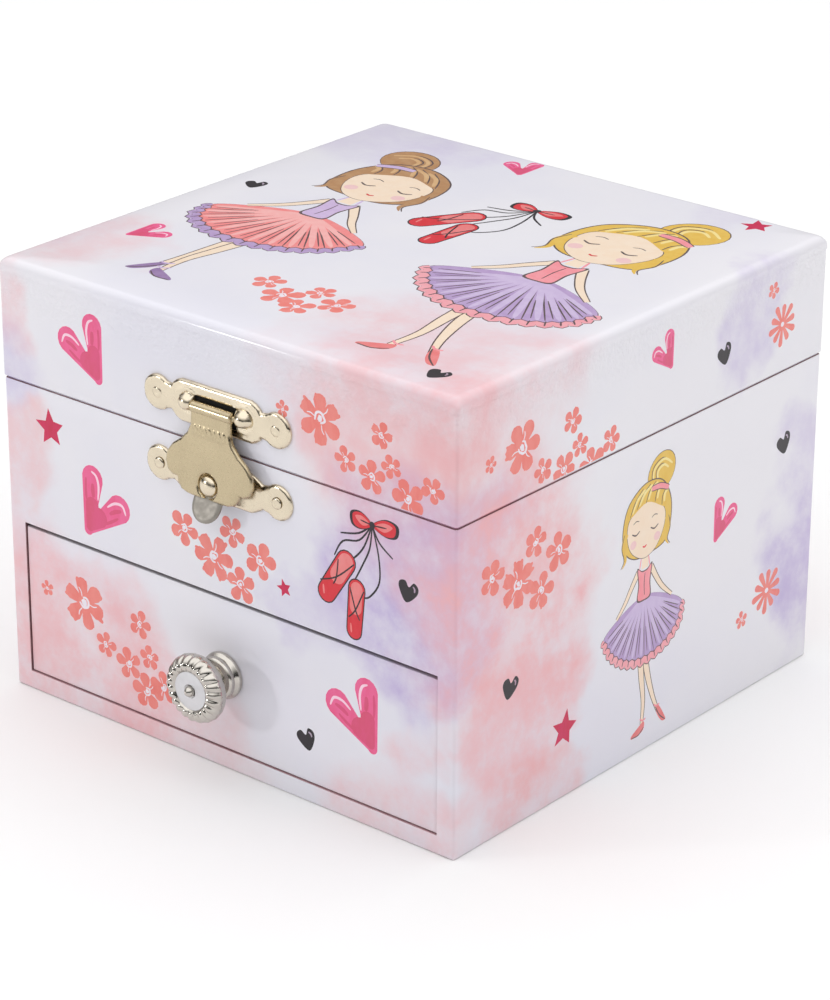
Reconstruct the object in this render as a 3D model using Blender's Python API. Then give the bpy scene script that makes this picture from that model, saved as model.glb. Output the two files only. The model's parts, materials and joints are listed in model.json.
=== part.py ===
"""Ballerina jewellery box: a lidded case with a drawer, a hasp, and a clockwork music movement
that turns a dancer on a spring. Metres, +Z up, the front faces -Y, the origin is under the base's centre."""

import math

import bmesh
import bpy
from mathutils import Matrix, Vector

# ---- driving dimensions -------------------------------------------------------------------------
WIDTH = 0.120
DEPTH = 0.120
HEIGHT = 0.096
BODY_TOP = 0.0701
LID_BOTTOM = 0.0706
GAP = 0.0003  # between pieces that touch

WALL = 0.004
BOTTOM_BOARD = 0.004
LID_BOARD = 0.003
LID_EDGE_RADIUS = 0.0022
DIVIDER_HALF = 0.001

BAY_TOP = 0.0386  # top of the drawer bay, where the shelf starts
SHELF_BOARD = 0.0025
STAGE_BOARD = 0.002
STAGE_BOTTOM = 0.0626
STAGE_FRONT = -0.001
DIVIDER_TOP = 0.060

FOLD_ANGLE = 74.0  # degrees that the dancer leans forward under the closed lid

# Walls' inner faces
INNER_X = WIDTH / 2 - WALL
INNER_Y = DEPTH / 2 - WALL
SHELF_TOP = BAY_TOP + SHELF_BOARD
STAGE_TOP = STAGE_BOTTOM + STAGE_BOARD

# Music movement: gears of one module, on axes along Y at one height
MODULE = 0.0005
BARREL_TEETH = 32
CYLINDER_TEETH = 24
CROWN_TEETH = 32
AXIS_HEIGHT = 0.0522
CYLINDER_X = 0.0
CYLINDER_RADIUS = CYLINDER_TEETH * MODULE / 2
CROWN_RADIUS = CROWN_TEETH * MODULE / 2
BARREL_X = CYLINDER_X - (BARREL_TEETH + CYLINDER_TEETH) * MODULE / 2
FRONT_GEAR_Y = 0.023
SPINDLE_Y = FRONT_GEAR_Y - CROWN_RADIUS
WORM_PITCH_RADIUS = 0.0015
WORM_X = CYLINDER_X + CYLINDER_RADIUS + WORM_PITCH_RADIUS
WORM_LEAD = math.pi * MODULE
DRUM_RADIUS = 0.0048
ARBOR_RADIUS = 0.0013

# Joint axes
AXIS_OUTSIDE = 0.0018  # how far the hinges' and the hasp's axes stand outside the boards
HINGE_AXIS = Vector((0, DEPTH / 2 + AXIS_OUTSIDE, (BODY_TOP + LID_BOTTOM) / 2))
HASP_AXIS = Vector((0, -DEPTH / 2 - AXIS_OUTSIDE, 0.0785))
DANCER_PIVOT = Vector((CYLINDER_X, SPINDLE_Y, STAGE_TOP + 0.0048))
STOP_WIRE = Vector((0.022, 0.040, STAGE_TOP))

# Rest angle of the hasp, which hangs clear of the stud's head; this much further in, it snaps over it
HASP_REST_ANGLE = 4.0


# ---- scene, materials and placing ---------------------------------------------------------------
def clear_scene():
    for obj in list(bpy.data.objects):
        bpy.data.objects.remove(obj)


def material(name, colour, roughness, metallic=0.0):
    made = bpy.data.materials.new(name)
    made.use_nodes = True
    shader = made.node_tree.nodes["Principled BSDF"]
    shader.inputs["Base Color"].default_value = (*colour, 1.0)
    shader.inputs["Roughness"].default_value = roughness
    shader.inputs["Metallic"].default_value = metallic
    return made


def joint_empty(name, place, parent=None, lean=0.0):
    """An empty on a joint's axis. lean turns it about X, in degrees."""
    empty = bpy.data.objects.new(name, None)
    bpy.context.scene.collection.objects.link(empty)
    empty.empty_display_size = 0.005
    empty.location = Vector(place)
    empty.rotation_euler = (math.radians(lean), 0, 0)
    if parent:
        empty.parent = parent
        empty.location -= world_place(parent)
    return empty


def world_place(empty):
    """Where an empty stands in the scene's frame, as long as none of its parents is turned."""
    place = Vector(empty.location)
    while empty.parent:
        empty = empty.parent
        place += empty.location
    return place


def add_object(name, mesh, place=(0, 0, 0), look=None, parent=None, smooth=None):
    """Links mesh as an object at place in the scene's frame, or at place in a leaning parent's frame."""
    obj = bpy.data.objects.new(name, mesh)
    bpy.context.scene.collection.objects.link(obj)
    if look:
        mesh.materials.append(look)
    if smooth is not None:
        mesh.shade_smooth()
        mesh.set_sharp_from_angle(angle=math.radians(smooth))
    obj.location = Vector(place)
    if parent:
        obj.parent = parent
        if not any(parent.rotation_euler):
            obj.location -= world_place(parent)
    return obj


def mesh_of(bm, name):
    bmesh.ops.recalc_face_normals(bm, faces=bm.faces)
    mesh = bpy.data.meshes.new(name)
    bm.to_mesh(mesh)
    bm.free()
    return mesh


# ---- shapes -------------------------------------------------------------------------------------
def box_mesh(name, size):
    bm = bmesh.new()
    bmesh.ops.create_cube(bm, size=1.0, matrix=Matrix.Diagonal((*size, 1.0)))
    return mesh_of(bm, name)


def box(name, low, high, look, parent=None):
    """A board between two corners in the scene's frame, with its origin in its middle."""
    low, high = Vector(low), Vector(high)
    return add_object(name, box_mesh(name, high - low), (low + high) / 2, look, parent)


def lathe_mesh(name, profile, segments=24, turn=None, hollow=False):
    """A solid turned about Z from (radius, height) points, low to high. turn re-aims its axis.
    A hollow one is a ring: its profile is a loop that stays clear of the axis."""
    bm = bmesh.new()
    angles = [2 * math.pi * k / segments for k in range(segments)]
    rings = []
    for radius, height in profile:
        if radius < 1e-7:
            rings.append([bm.verts.new((0, 0, height))])
        else:
            rings.append([bm.verts.new((radius * math.cos(a), radius * math.sin(a), height)) for a in angles])
    for lower, upper in zip(rings, rings[1:] + (rings[:1] if hollow else [])):
        for k in range(segments):
            n = (k + 1) % segments
            corners = [lower[k % len(lower)], lower[n % len(lower)], upper[n % len(upper)], upper[k % len(upper)]]
            bm.faces.new(list(dict.fromkeys(corners)))
    for ring in () if hollow else (rings[0], rings[-1]):
        if len(ring) > 1:
            bm.faces.new(ring)
    if turn:
        bmesh.ops.transform(bm, matrix=turn, verts=bm.verts)
    return mesh_of(bm, name)


ALONG_Y = Matrix.Rotation(math.radians(-90), 4, "X")  # turns +Z to +Y
ALONG_MINUS_Y = Matrix.Rotation(math.radians(90), 4, "X")
ALONG_X = Matrix.Rotation(math.radians(90), 4, "Y")


def prism_mesh(name, outline, low, high, turn=None):
    """An outline of (x, y) points, anticlockwise, raised from height low to high along Z."""
    bm = bmesh.new()
    bottom = [bm.verts.new((x, y, low)) for x, y in outline]
    base = bm.faces.new(bottom)
    raised = bmesh.ops.extrude_face_region(bm, geom=[base])
    top = [v for v in raised["geom"] if isinstance(v, bmesh.types.BMVert)]
    bmesh.ops.translate(bm, verts=top, vec=(0, 0, high - low))
    if turn:
        bmesh.ops.transform(bm, matrix=turn, verts=bm.verts)
    return mesh_of(bm, name)


# A plate drawn as seen from the front, in (x, z), raised towards -Y
FRONT_PLATE = Matrix(((1, 0, 0, 0), (0, 0, -1, 0), (0, 1, 0, 0), (0, 0, 0, 1)))
# A wheel drawn as seen from the front, in (x, -z), raised towards +Y
ROUND_Y = Matrix(((1, 0, 0, 0), (0, 0, 1, 0), (0, -1, 0, 0), (0, 0, 0, 1)))
# A section drawn across the case, in (y, z), raised along +X
ACROSS_X = Matrix(((0, 0, 1, 0), (1, 0, 0, 0), (0, 1, 0, 0), (0, 0, 0, 1)))


def arc(centre, radius, start, end, steps):
    """Points round centre from start to end, in degrees."""
    for k in range(steps + 1):
        a = math.radians(start + (end - start) * k / steps)
        yield (centre[0] + radius * math.cos(a), centre[1] + radius * math.sin(a))


def helper(name, mesh, place=(0, 0, 0)):
    """A cutter or a shape to be joined, which isn't a part."""
    obj = add_object(name, mesh, place)
    obj.hide_render = True
    obj.display_type = "WIRE"
    return obj


def boolean(obj, operation, *others):
    for other in others:
        change = obj.modifiers.new(operation.lower(), "BOOLEAN")
        change.operation = operation
        change.solver = "EXACT"
        change.object = other


def cut(obj, *others):
    boolean(obj, "DIFFERENCE", *others)


def join(obj, *others):
    boolean(obj, "UNION", *others)


def rod_cutter(name, radius, start, length, turn=None, segments=16):
    """A round cutter from start, along Z unless turn says otherwise."""
    profile = [(radius, 0), (radius, length)]
    return helper(name, lathe_mesh(name, profile, segments, turn), start)


def tube_mesh(name, points, radius, sides=8):
    """A round bar along points, closed at both ends."""
    points = [Vector(p) for p in points]
    bm = bmesh.new()
    rings = []
    side = None
    for k, point in enumerate(points):
        ahead = (points[min(k + 1, len(points) - 1)] - points[max(k - 1, 0)]).normalized()
        if side is None:
            side = ahead.orthogonal().normalized()
        side = (side - ahead * side.dot(ahead)).normalized()
        other = ahead.cross(side)
        ring = []
        for s in range(sides):
            a = 2 * math.pi * s / sides
            ring.append(bm.verts.new(point + (side * math.cos(a) + other * math.sin(a)) * radius))
        rings.append(ring)
    for lower, upper in zip(rings, rings[1:]):
        for s in range(sides):
            n = (s + 1) % sides
            bm.faces.new((lower[s], lower[n], upper[n], upper[s]))
    bm.faces.new(rings[0])
    bm.faces.new(rings[-1])
    return mesh_of(bm, name)


def gear_outline(teeth, phase=0.0, addendum=0.00034, dedendum=0.00055, share=0.40):
    """A gear's outline with a tooth at angle phase, in tooth pitches. share is the tooth's part of a pitch."""
    pitch_radius = teeth * MODULE / 2
    step = 2 * math.pi / teeth
    corners = (
        (-0.62 * share, -dedendum),
        (-0.30 * share, addendum),
        (0.30 * share, addendum),
        (0.62 * share, -dedendum),
    )
    outline = []
    for k in range(teeth):
        for offset, depth in corners:
            a = (k + phase + offset) * step
            radius = pitch_radius + depth
            outline.append((radius * math.cos(a), radius * math.sin(a)))
    return outline


# ---- case ---------------------------------------------------------------------------------------
def make_case(board, lining):
    half_x, half_y = WIDTH / 2, DEPTH / 2
    across = INNER_X - GAP
    wall_low = BOTTOM_BOARD + GAP
    box("case_bottom", (-half_x, -half_y, 0), (half_x, half_y, BOTTOM_BOARD), board)
    for name, side in (("case_left_wall", -1), ("case_right_wall", 1)):
        inner, outer = sorted((side * INNER_X, side * half_x))
        box(name, (inner, -half_y, wall_low), (outer, half_y, BODY_TOP), board)
    back = box("case_back_wall", (-across, INNER_Y, wall_low), (across, half_y, BODY_TOP), board)
    key_hole = (BARREL_X, INNER_Y - WALL, AXIS_HEIGHT)
    cut(back, rod_cutter("key_hole_cutter", 0.0024, key_hole, 3 * WALL, ALONG_Y))
    box("case_front_rail", (-across, -half_y, BAY_TOP), (across, -INNER_Y, BODY_TOP), board)
    box("shelf_board", (-across, -INNER_Y + GAP, BAY_TOP), (across, INNER_Y - GAP, SHELF_TOP), lining)

    floor = SHELF_TOP + GAP
    riser_back = STAGE_FRONT + STAGE_BOARD
    box("stage_riser", (-across, STAGE_FRONT, floor), (across, riser_back, STAGE_BOTTOM - GAP), lining)
    stage = box("stage_board", (-across, STAGE_FRONT, STAGE_BOTTOM), (across, INNER_Y - GAP, STAGE_TOP), lining)
    below = STAGE_BOTTOM - STAGE_BOARD
    spindle_hole = rod_cutter("spindle_hole_cutter", 0.0019, (CYLINDER_X, SPINDLE_Y, below), 3 * STAGE_BOARD)
    wire_hole = rod_cutter("wire_hole_cutter", 0.0011, (STOP_WIRE.x, STOP_WIRE.y, below), 3 * STAGE_BOARD)
    cut(stage, spindle_hole, wire_hole)
    divider_low = (-DIVIDER_HALF, -INNER_Y + GAP, floor)
    box("tray_divider", divider_low, (DIVIDER_HALF, STAGE_FRONT - GAP, DIVIDER_TOP), lining)


RING_ROLLS = 3
ROLL_WIDTH = 0.0132
ROLL_HEIGHT = 0.0150


def make_ring_rolls(velvet):
    """Foam rolls that hold rings between them, along X, in the right half of the front tray."""
    low_x, high_x = DIVIDER_HALF + GAP, INNER_X - GAP
    radius = ROLL_WIDTH / 2
    outline = [(-radius, 0), (radius, 0), *arc((0, ROLL_HEIGHT - radius), radius, 0, 180, 10)]
    for k in range(RING_ROLLS):
        name = f"ring_roll_{k + 1}"
        y = -INNER_Y + GAP + radius + k * (ROLL_WIDTH + GAP)
        mesh = prism_mesh(name, outline, low_x, high_x, ACROSS_X)
        add_object(name, mesh, (0, y, SHELF_TOP + GAP), velvet, smooth=40)


# ---- lid ----------------------------------------------------------------------------------------
MIRROR_HALF = 0.044
MIRROR_GLASS = 0.0015
MIRROR_BOARD = 0.001
WINDOW = 0.080
MIRROR_BOARD_LOW = HEIGHT - LID_BOARD - MIRROR_GLASS - MIRROR_BOARD - 2 * GAP


def make_lid(board, lining, glass):
    half_x, half_y = WIDTH / 2, DEPTH / 2
    pivot = joint_empty("lid_hinge", HINGE_AXIS)
    rim_top = HEIGHT - LID_BOARD - GAP
    rim = box("lid_rim", (-half_x, -half_y, LID_BOTTOM), (half_x, half_y, rim_top), board, pivot)
    hollow_size = (2 * INNER_X, 2 * INNER_Y, 2 * HEIGHT)
    cut(rim, helper("lid_hollow_cutter", box_mesh("lid_hollow_cutter", hollow_size), (0, 0, HEIGHT)))

    top = box("lid_top_board", (-half_x, -half_y, HEIGHT - LID_BOARD), (half_x, half_y, HEIGHT), board, pivot)
    rounding = top.modifiers.new("rounding", "BEVEL")
    rounding.width = LID_EDGE_RADIUS
    rounding.segments = 3
    rounding.limit_method = "WEIGHT"
    weights = top.data.attributes.new("bevel_weight_edge", "FLOAT", "EDGE")
    for edge in top.data.edges:
        is_top = all(top.data.vertices[v].co.z > 0 for v in edge.vertices)
        weights.data[edge.index].value = 1.0 if is_top else 0.0

    board_top = MIRROR_BOARD_LOW + MIRROR_BOARD
    mirror_low = board_top + GAP
    glass_high = (MIRROR_HALF, MIRROR_HALF, mirror_low + MIRROR_GLASS)
    box("lid_mirror", (-MIRROR_HALF, -MIRROR_HALF, mirror_low), glass_high, glass, pivot)
    reach = INNER_X - GAP
    frame = box("mirror_frame", (-reach, -reach, MIRROR_BOARD_LOW), (reach, reach, board_top), lining, pivot)
    window = box_mesh("mirror_window_cutter", (WINDOW, WINDOW, 20 * MIRROR_BOARD))
    cut(frame, helper("mirror_window_cutter", window, (0, 0, board_top)))
    return pivot


# ---- hasp ---------------------------------------------------------------------------------------
PLATE = 0.0006  # sheet brass
HASP_HALF_LENGTH = 0.0193
LOBE_RADIUS = 0.0036
LOWER_PLATE_Z = 0.0640
STUD_DROP = HASP_AXIS.z - LOWER_PLATE_Z  # from the hasp's pivot to its hole
NAIL_X = 0.0157
BOSS_X = 0.0058
ROLL_RADIUS = 0.0010
ROLL_HALF = 0.0064  # half the roll's length, into the bosses
KNUCKLE_HALF = 0.0049  # half the width of the sheet where it wraps the roll
HASP_LENGTH = 0.0180
TAB_RADIUS = 0.0035
TAB_BEND = 24.0  # degrees that the lifting tab stands out


def lobed_outline(middle_low, middle_high, shoulder, half_length=HASP_HALF_LENGTH):
    """The outline of a strap with a round lobe at each end, about its own middle."""
    lobe_x = half_length - LOBE_RADIUS
    waist = 0.55 * LOBE_RADIUS
    right = [
        (shoulder, middle_low),
        (lobe_x - 0.0042, -waist),
        *arc((lobe_x, 0), LOBE_RADIUS, -130, 130, 12),
        (lobe_x - 0.0042, waist),
        (shoulder, middle_high),
    ]
    return right + [(-x, z) for x, z in reversed(right)]


def make_hasp(brass, lid_pivot):
    face = -DEPTH / 2 - GAP
    upper_outline = lobed_outline(-0.0038, 0.0040, 0.0098)
    upper = add_object(
        "latch_upper_plate",
        prism_mesh("latch_upper_plate", upper_outline, 0, PLATE, FRONT_PLATE),
        (0, face, HASP_AXIS.z),
        brass,
        lid_pivot,
        smooth=30,
    )
    # Two bosses hold the ends of the hasp's roll, over a window that the roll turns in
    boss, boss_length = 0.0019, 0.0038
    for side in (-1, 1):
        start = (side * BOSS_X - boss_length / 2, face - boss + 0.0004, HASP_AXIS.z)
        end_boss = lathe_mesh("boss", [(boss, 0), (boss, boss_length)], 16, ALONG_X)
        join(upper, helper(f"boss_{side}", end_boss, start))
    window = helper("hasp_window", box_mesh("hasp_window", (0.0106, 0.02, 0.0044)), (0, face, HASP_AXIS.z))
    cut(upper, window)
    seat = ROLL_HALF + 0.0004
    seat_start = (-seat, HASP_AXIS.y, HASP_AXIS.z)
    cut(upper, rod_cutter("roll_seat_cutter", ROLL_RADIUS + 0.00015, seat_start, 2 * seat, ALONG_X))
    # The bosses' backs are cut off level with the plate, so that they clear the lid
    behind = box_mesh("boss_back_cutter", (WIDTH / 2, 0.01, 0.02))
    cut(upper, helper("boss_back_cutter", behind, (0, face + 0.005, HASP_AXIS.z)))

    swing = joint_empty("latch_swing", HASP_AXIS, lid_pivot, lean=-HASP_REST_ANGLE)
    hasp_outline = [
        (KNUCKLE_HALF, 0.0),
        (KNUCKLE_HALF, -0.0050),
        (0.0056, -0.0068),
        (0.0082, -0.0088),
        (0.0108, -0.0106),
        (0.0117, -0.0124),
        (0.0112, -0.0142),
        (0.0094, -0.0152),
        (0.0076, -0.0151),
        (0.0070, -0.0168),
        (0.0046, -HASP_LENGTH),
    ]
    hasp_outline = [(-x, z) for x, z in hasp_outline] + [(x, z) for x, z in reversed(hasp_outline)]
    # In the swing's frame the hasp hangs down, its sheet just in front of the roll's axis
    sheet_back = 0.0002
    hasp_mesh = prism_mesh("latch_hasp", hasp_outline, sheet_back, sheet_back + PLATE, FRONT_PLATE)
    hasp = add_object("latch_hasp", hasp_mesh, (0, 0, 0), brass, swing)
    rolled = []
    for name, radius, half in (("hasp_roll", ROLL_RADIUS, ROLL_HALF), ("hasp_knuckle", 0.00125, KNUCKLE_HALF)):
        rolled.append(helper(name, lathe_mesh(name, [(radius, -half), (radius, half)], 16, ALONG_X)))
    tab_root, tab_middle = (TAB_RADIUS, 0.0004), (0, -0.0012)
    tab_outline = [
        (-TAB_RADIUS, tab_root[1]),
        *arc(tab_middle, TAB_RADIUS, 180, 360, 8),
        tab_root,
    ]
    tab_place = (0, -sheet_back, hasp_outline[0][1] + 0.0003 - HASP_LENGTH)
    tab = helper("hasp_tab", prism_mesh("hasp_tab", tab_outline, 0, PLATE, FRONT_PLATE), tab_place)
    tab.rotation_euler = (math.radians(-TAB_BEND), 0, 0)
    hole = rod_cutter("hasp_hole_cutter", 0.0025, (0, 0.004, -STUD_DROP), 0.01, ALONG_MINUS_Y)
    for piece in (*rolled, tab, hole):
        piece.parent = swing
    join(hasp, *rolled, tab)
    cut(hasp, hole)

    lower_outline = lobed_outline(-0.0046, 0.0030, 0.0085)
    lower = add_object(
        "latch_lower_plate",
        prism_mesh("latch_lower_plate", lower_outline, 0, PLATE, FRONT_PLATE),
        (0, face, LOWER_PLATE_Z),
        brass,
        smooth=30,
    )
    stud_profile = [
        (0.0013, 0),
        (0.0013, 0.0012),
        (0.0019, 0.0015),
        (0.0018, 0.0021),
        (0.0012, 0.0025),
        (0, 0.0027),
    ]
    add_object(
        "latch_stud",
        lathe_mesh("latch_stud", stud_profile, 20, ALONG_MINUS_Y),
        (0, face, LOWER_PLATE_Z),
        brass,
        smooth=40,
    )
    hole_start = (0, face + 0.003, LOWER_PLATE_Z)
    cut(lower, rod_cutter("stud_hole_cutter", 0.0016, hole_start, 0.006, ALONG_MINUS_Y))
    return upper, lower


def make_nails(brass, owners):
    """Domed nails through sheet pieces, up to the boards.
    owners holds each one's name, the sheet it holds, its x and z, which way out is along Y, and its parent."""
    head_low = PLATE + GAP
    nail_profile = [
        (0.0006, 0),
        (0.0006, head_low),
        (0.0013, head_low),
        (0.0009, head_low + 0.0005),
        (0, head_low + 0.0007),
    ]
    for name, sheet, x, z, outward, parent in owners:
        face = outward * (DEPTH / 2 + GAP)
        turn = ALONG_Y if outward > 0 else ALONG_MINUS_Y
        place = Vector((x, face, z))
        add_object(name, lathe_mesh(name, nail_profile, 12, turn), place, brass, parent, smooth=40)
        start = place - Vector((0, outward * 0.002, 0))
        cut(sheet, rod_cutter(f"{name}_cutter", 0.0009, start, 0.006, turn, segments=12))


# ---- hinges -------------------------------------------------------------------------------------
HINGE_X = 0.032
LEAF_WIDTH = 0.0165
LEAF_LENGTH = 0.0090
LEAF_START = 0.0008  # from the hinge's axis to the near end of a leaf's flat
BARREL_OUTER = 0.0014
PIN_RADIUS = 0.0006
KNUCKLE = LEAF_WIDTH / 3
LEAF_NAIL_X = 0.0050
TAIL_LENGTH = 0.0030
TAIL_HALF = 0.00035


def leaf_mesh(name, upwards):
    """The flat of a leaf, in the hinge axis's frame, lying on the back of the case or the lid."""
    near = LEAF_START
    low, high = (near, near + LEAF_LENGTH) if upwards else (-near - LEAF_LENGTH, -near)
    back = DEPTH / 2 + GAP - HINGE_AXIS.y
    bm = bmesh.new()
    centre = Matrix.Translation((0, back + PLATE / 2, (low + high) / 2))
    size = Matrix.Diagonal((LEAF_WIDTH, PLATE, high - low, 1.0))
    bmesh.ops.create_cube(bm, size=1.0, matrix=centre @ size)
    return mesh_of(bm, name)


def make_hinge(side_name, x, steel, lid_pivot):
    """Two leaves and a pin. The lid's leaf has the middle knuckle, and a tail that stops on the lower leaf."""
    place = Vector((x, HINGE_AXIS.y, HINGE_AXIS.z))
    made = {}
    for part, upwards, parent in (("lower", False, None), ("upper", True, lid_pivot)):
        name = f"hinge_{side_name}_{part}_leaf"
        leaf = add_object(name, leaf_mesh(name, upwards), place, steel, parent, smooth=30)
        near_end, far_end, play = KNUCKLE / 2, LEAF_WIDTH / 2, GAP / 2
        knuckles = [(-near_end + play, near_end - play)]
        if not upwards:
            knuckles = [(-far_end, -near_end - play), (near_end + play, far_end)]
        for k, (start, end) in enumerate(knuckles):
            tube_name = f"{name}_knuckle_{k}"
            # The strap carries the knuckle to the leaf's flat
            tube_profile = [(BARREL_OUTER, start), (BARREL_OUTER, end)]
            tube = helper(tube_name, lathe_mesh(tube_name, tube_profile, 16, ALONG_X), place)
            sign = 1 if upwards else -1
            back = DEPTH / 2 + GAP - HINGE_AXIS.y
            strap_name = f"{name}_strap_{k}"
            strap = box_mesh(strap_name, (end - start, PLATE, 0.0016))
            strap_place = place + Vector(((start + end) / 2, back + PLATE / 2, sign * 0.0010))
            join(leaf, tube, helper(strap_name, strap, strap_place))
        if upwards:
            tail_name = f"{name}_tail"
            tail = box_mesh(tail_name, (KNUCKLE - 0.0012, TAIL_LENGTH - 0.0009, 2 * TAIL_HALF))
            tail_place = place + Vector((0, (TAIL_LENGTH + 0.0009) / 2, 0))
            join(leaf, helper(tail_name, tail, tail_place))
        bore_start = place - Vector((LEAF_WIDTH, 0, 0))
        bore_radius = PIN_RADIUS + 0.00012
        cut(leaf, rod_cutter(f"{name}_bore", bore_radius, bore_start, 2 * LEAF_WIDTH, ALONG_X, segments=12))
        # Room for the other leaf's knuckles
        rooms = [(-1.5 * KNUCKLE + 0.0001, 2 * KNUCKLE), (1.5 * KNUCKLE - 0.0001, 2 * KNUCKLE)]
        if not upwards:
            rooms = [(0, KNUCKLE + 0.0002)]
        for k, (shift, width) in enumerate(rooms):
            clear_name = f"{name}_clear_{k}"
            clear = box_mesh(clear_name, (width, 0.006, 0.0034))
            cut(leaf, helper(clear_name, clear, place + Vector((shift, 0, 0))))
        made[part] = leaf
    pin_profile = [(PIN_RADIUS, -LEAF_WIDTH / 2 - 0.0002), (PIN_RADIUS, LEAF_WIDTH / 2 + 0.0002)]
    add_object(f"hinge_{side_name}_pin", lathe_mesh("pin", pin_profile, 12, ALONG_X), place, steel, smooth=40)
    return made


# ---- drawer -------------------------------------------------------------------------------------
DRAWER_FRONT_Y = -DEPTH / 2 + 0.0004
DRAWER_BACK_Y = 0.050
DRAWER_LOW = BOTTOM_BOARD + 0.0004
DRAWER_TOP = BAY_TOP - 0.0010
SIDE_TOP = 0.0320
SIDE_BOARD = 0.0025
DRAWER_FLOOR = 0.0020
KNOB_Z = (DRAWER_LOW + DRAWER_TOP) / 2


def make_drawer(board, lining, chrome, steel):
    slide = joint_empty("drawer_slide", (0, DRAWER_FRONT_Y, KNOB_Z))
    half = INNER_X - 0.0004
    inside = DRAWER_FRONT_Y + WALL
    floor_top = DRAWER_LOW + DRAWER_FLOOR
    box("drawer_front", (-half, DRAWER_FRONT_Y, DRAWER_LOW), (half, inside, DRAWER_TOP), board, slide)
    box("drawer_bottom", (-half, inside + GAP, DRAWER_LOW), (half, DRAWER_BACK_Y, floor_top), lining, slide)
    side_low = floor_top + GAP
    for name, side in (("drawer_left_side", -1), ("drawer_right_side", 1)):
        low_x, high_x = sorted((side * half, side * (half - SIDE_BOARD)))
        box(name, (low_x, inside + GAP, side_low), (high_x, DRAWER_BACK_Y, SIDE_TOP), lining, slide)
    back_half = half - SIDE_BOARD - GAP
    back_low = (-back_half, DRAWER_BACK_Y - SIDE_BOARD, side_low)
    box("drawer_back", back_low, (back_half, DRAWER_BACK_Y, SIDE_TOP), lining, slide)

    # Knob: a collar on the drawer's front, a mushroom head on it, and a screw from inside through both
    face = (0, DRAWER_FRONT_Y - GAP, KNOB_Z)
    collar = [(0.0020, 0), (0.0048, 0), (0.0049, 0.0006), (0.0048, 0.0030), (0.0042, 0.0034), (0.0020, 0.0034)]
    head = [
        (0.0022, 0.0037),
        (0.0030, 0.0040),
        (0.0034, 0.0054),
        (0.0066, 0.0062),
        (0.0075, 0.0076),
        (0.0074, 0.0092),
        (0.0062, 0.0107),
        (0.0044, 0.0111),
        (0.0024, 0.0106),
        (0.0011, 0.0109),
        (0.0010, 0.0116),
        (0, 0.0119),
    ]
    for name, profile in (("knob_collar", collar), ("knob_head", head)):
        add_object(name, lathe_mesh(name, profile, 32, ALONG_MINUS_Y), face, chrome, slide, smooth=35)
    screw = [(0.0026, -WALL - 0.0014), (0.0026, -WALL - 0.0006), (0.0013, -WALL - 0.0006), (0.0013, 0.0080)]
    add_object("knob_screw", lathe_mesh("knob_screw", screw, 16, ALONG_MINUS_Y), face, steel, slide, smooth=35)
    bore_start = (0, DRAWER_FRONT_Y + 3 * WALL, KNOB_Z)
    bore_length = 3 * WALL + GAP + 0.0085
    for name in ("knob_collar", "knob_head", "drawer_front"):
        cut(bpy.data.objects[name], rod_cutter(f"{name}_bore", 0.0016, bore_start, bore_length, ALONG_MINUS_Y))


# ---- music movement -----------------------------------------------------------------------------
FRAME_BACK = INNER_Y - GAP
FRAME_PLATE = 0.0020
FRAME_LOW = SHELF_TOP + GAP
FRAME_FRONT = 0.0197
BED = 0.0012
BARREL_FRONT = 0.0472
BARREL_BACK = 0.0530
BARREL_GEAR_Y = 0.0506
DRUM_FRONT = 0.0252
DRUM_BACK = 0.0485
COMB_TEETH = 18
COMB_PITCH = 0.00112
COMB_START = 0.0262
THREAD_HALF = 0.0034
WORM_ROOT_RADIUS = 0.00105
WORM_CREST_RADIUS = 0.00185
WORM_PIVOT_RADIUS = 0.00045


def on_axis(x, y):
    """A place on an axis along Y at the movement's height."""
    return (x, y, AXIS_HEIGHT)


def make_frame(steel):
    """Cast frame: a bed on the shelf, a back plate that carries the barrel, a front lug and the comb's seat."""
    plate_low = FRAME_BACK - FRAME_PLATE
    bed_high = (0.016, FRAME_BACK - 0.0005, FRAME_LOW + BED)
    frame = box("movement_frame", (-0.024, FRAME_FRONT - 0.0005, FRAME_LOW), bed_high, steel)
    foot = FRAME_LOW + BED / 2  # where each upright starts, inside the bed
    comb_seat_high = (-0.0128, COMB_START + 0.020, AXIS_HEIGHT - 0.0008)
    lows_highs = {
        "frame_back_plate": ((-0.0235, plate_low, foot), (0.010, FRAME_BACK, STAGE_BOTTOM - 0.0012)),
        "frame_front_lug": ((-0.003, FRAME_FRONT, foot), (0.003, FRAME_FRONT + 0.0018, AXIS_HEIGHT + 0.003)),
        "frame_comb_seat": ((-0.0172, COMB_START, foot), comb_seat_high),
    }
    for name, (low, high) in lows_highs.items():
        low, high = Vector(low), Vector(high)
        join(frame, helper(name, box_mesh(name, high - low), (low + high) / 2))
    holes = (
        ("arbor_bore", ARBOR_RADIUS + 0.0002, on_axis(BARREL_X, plate_low - 0.002)),
        ("drum_back_bore", 0.00105, on_axis(CYLINDER_X, plate_low - 0.002)),
        ("drum_front_bore", 0.00105, on_axis(CYLINDER_X, FRAME_FRONT - 0.001)),
    )
    for name, radius, start in holes:
        cut(frame, rod_cutter(name, radius, start, 0.006, ALONG_Y))


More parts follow.
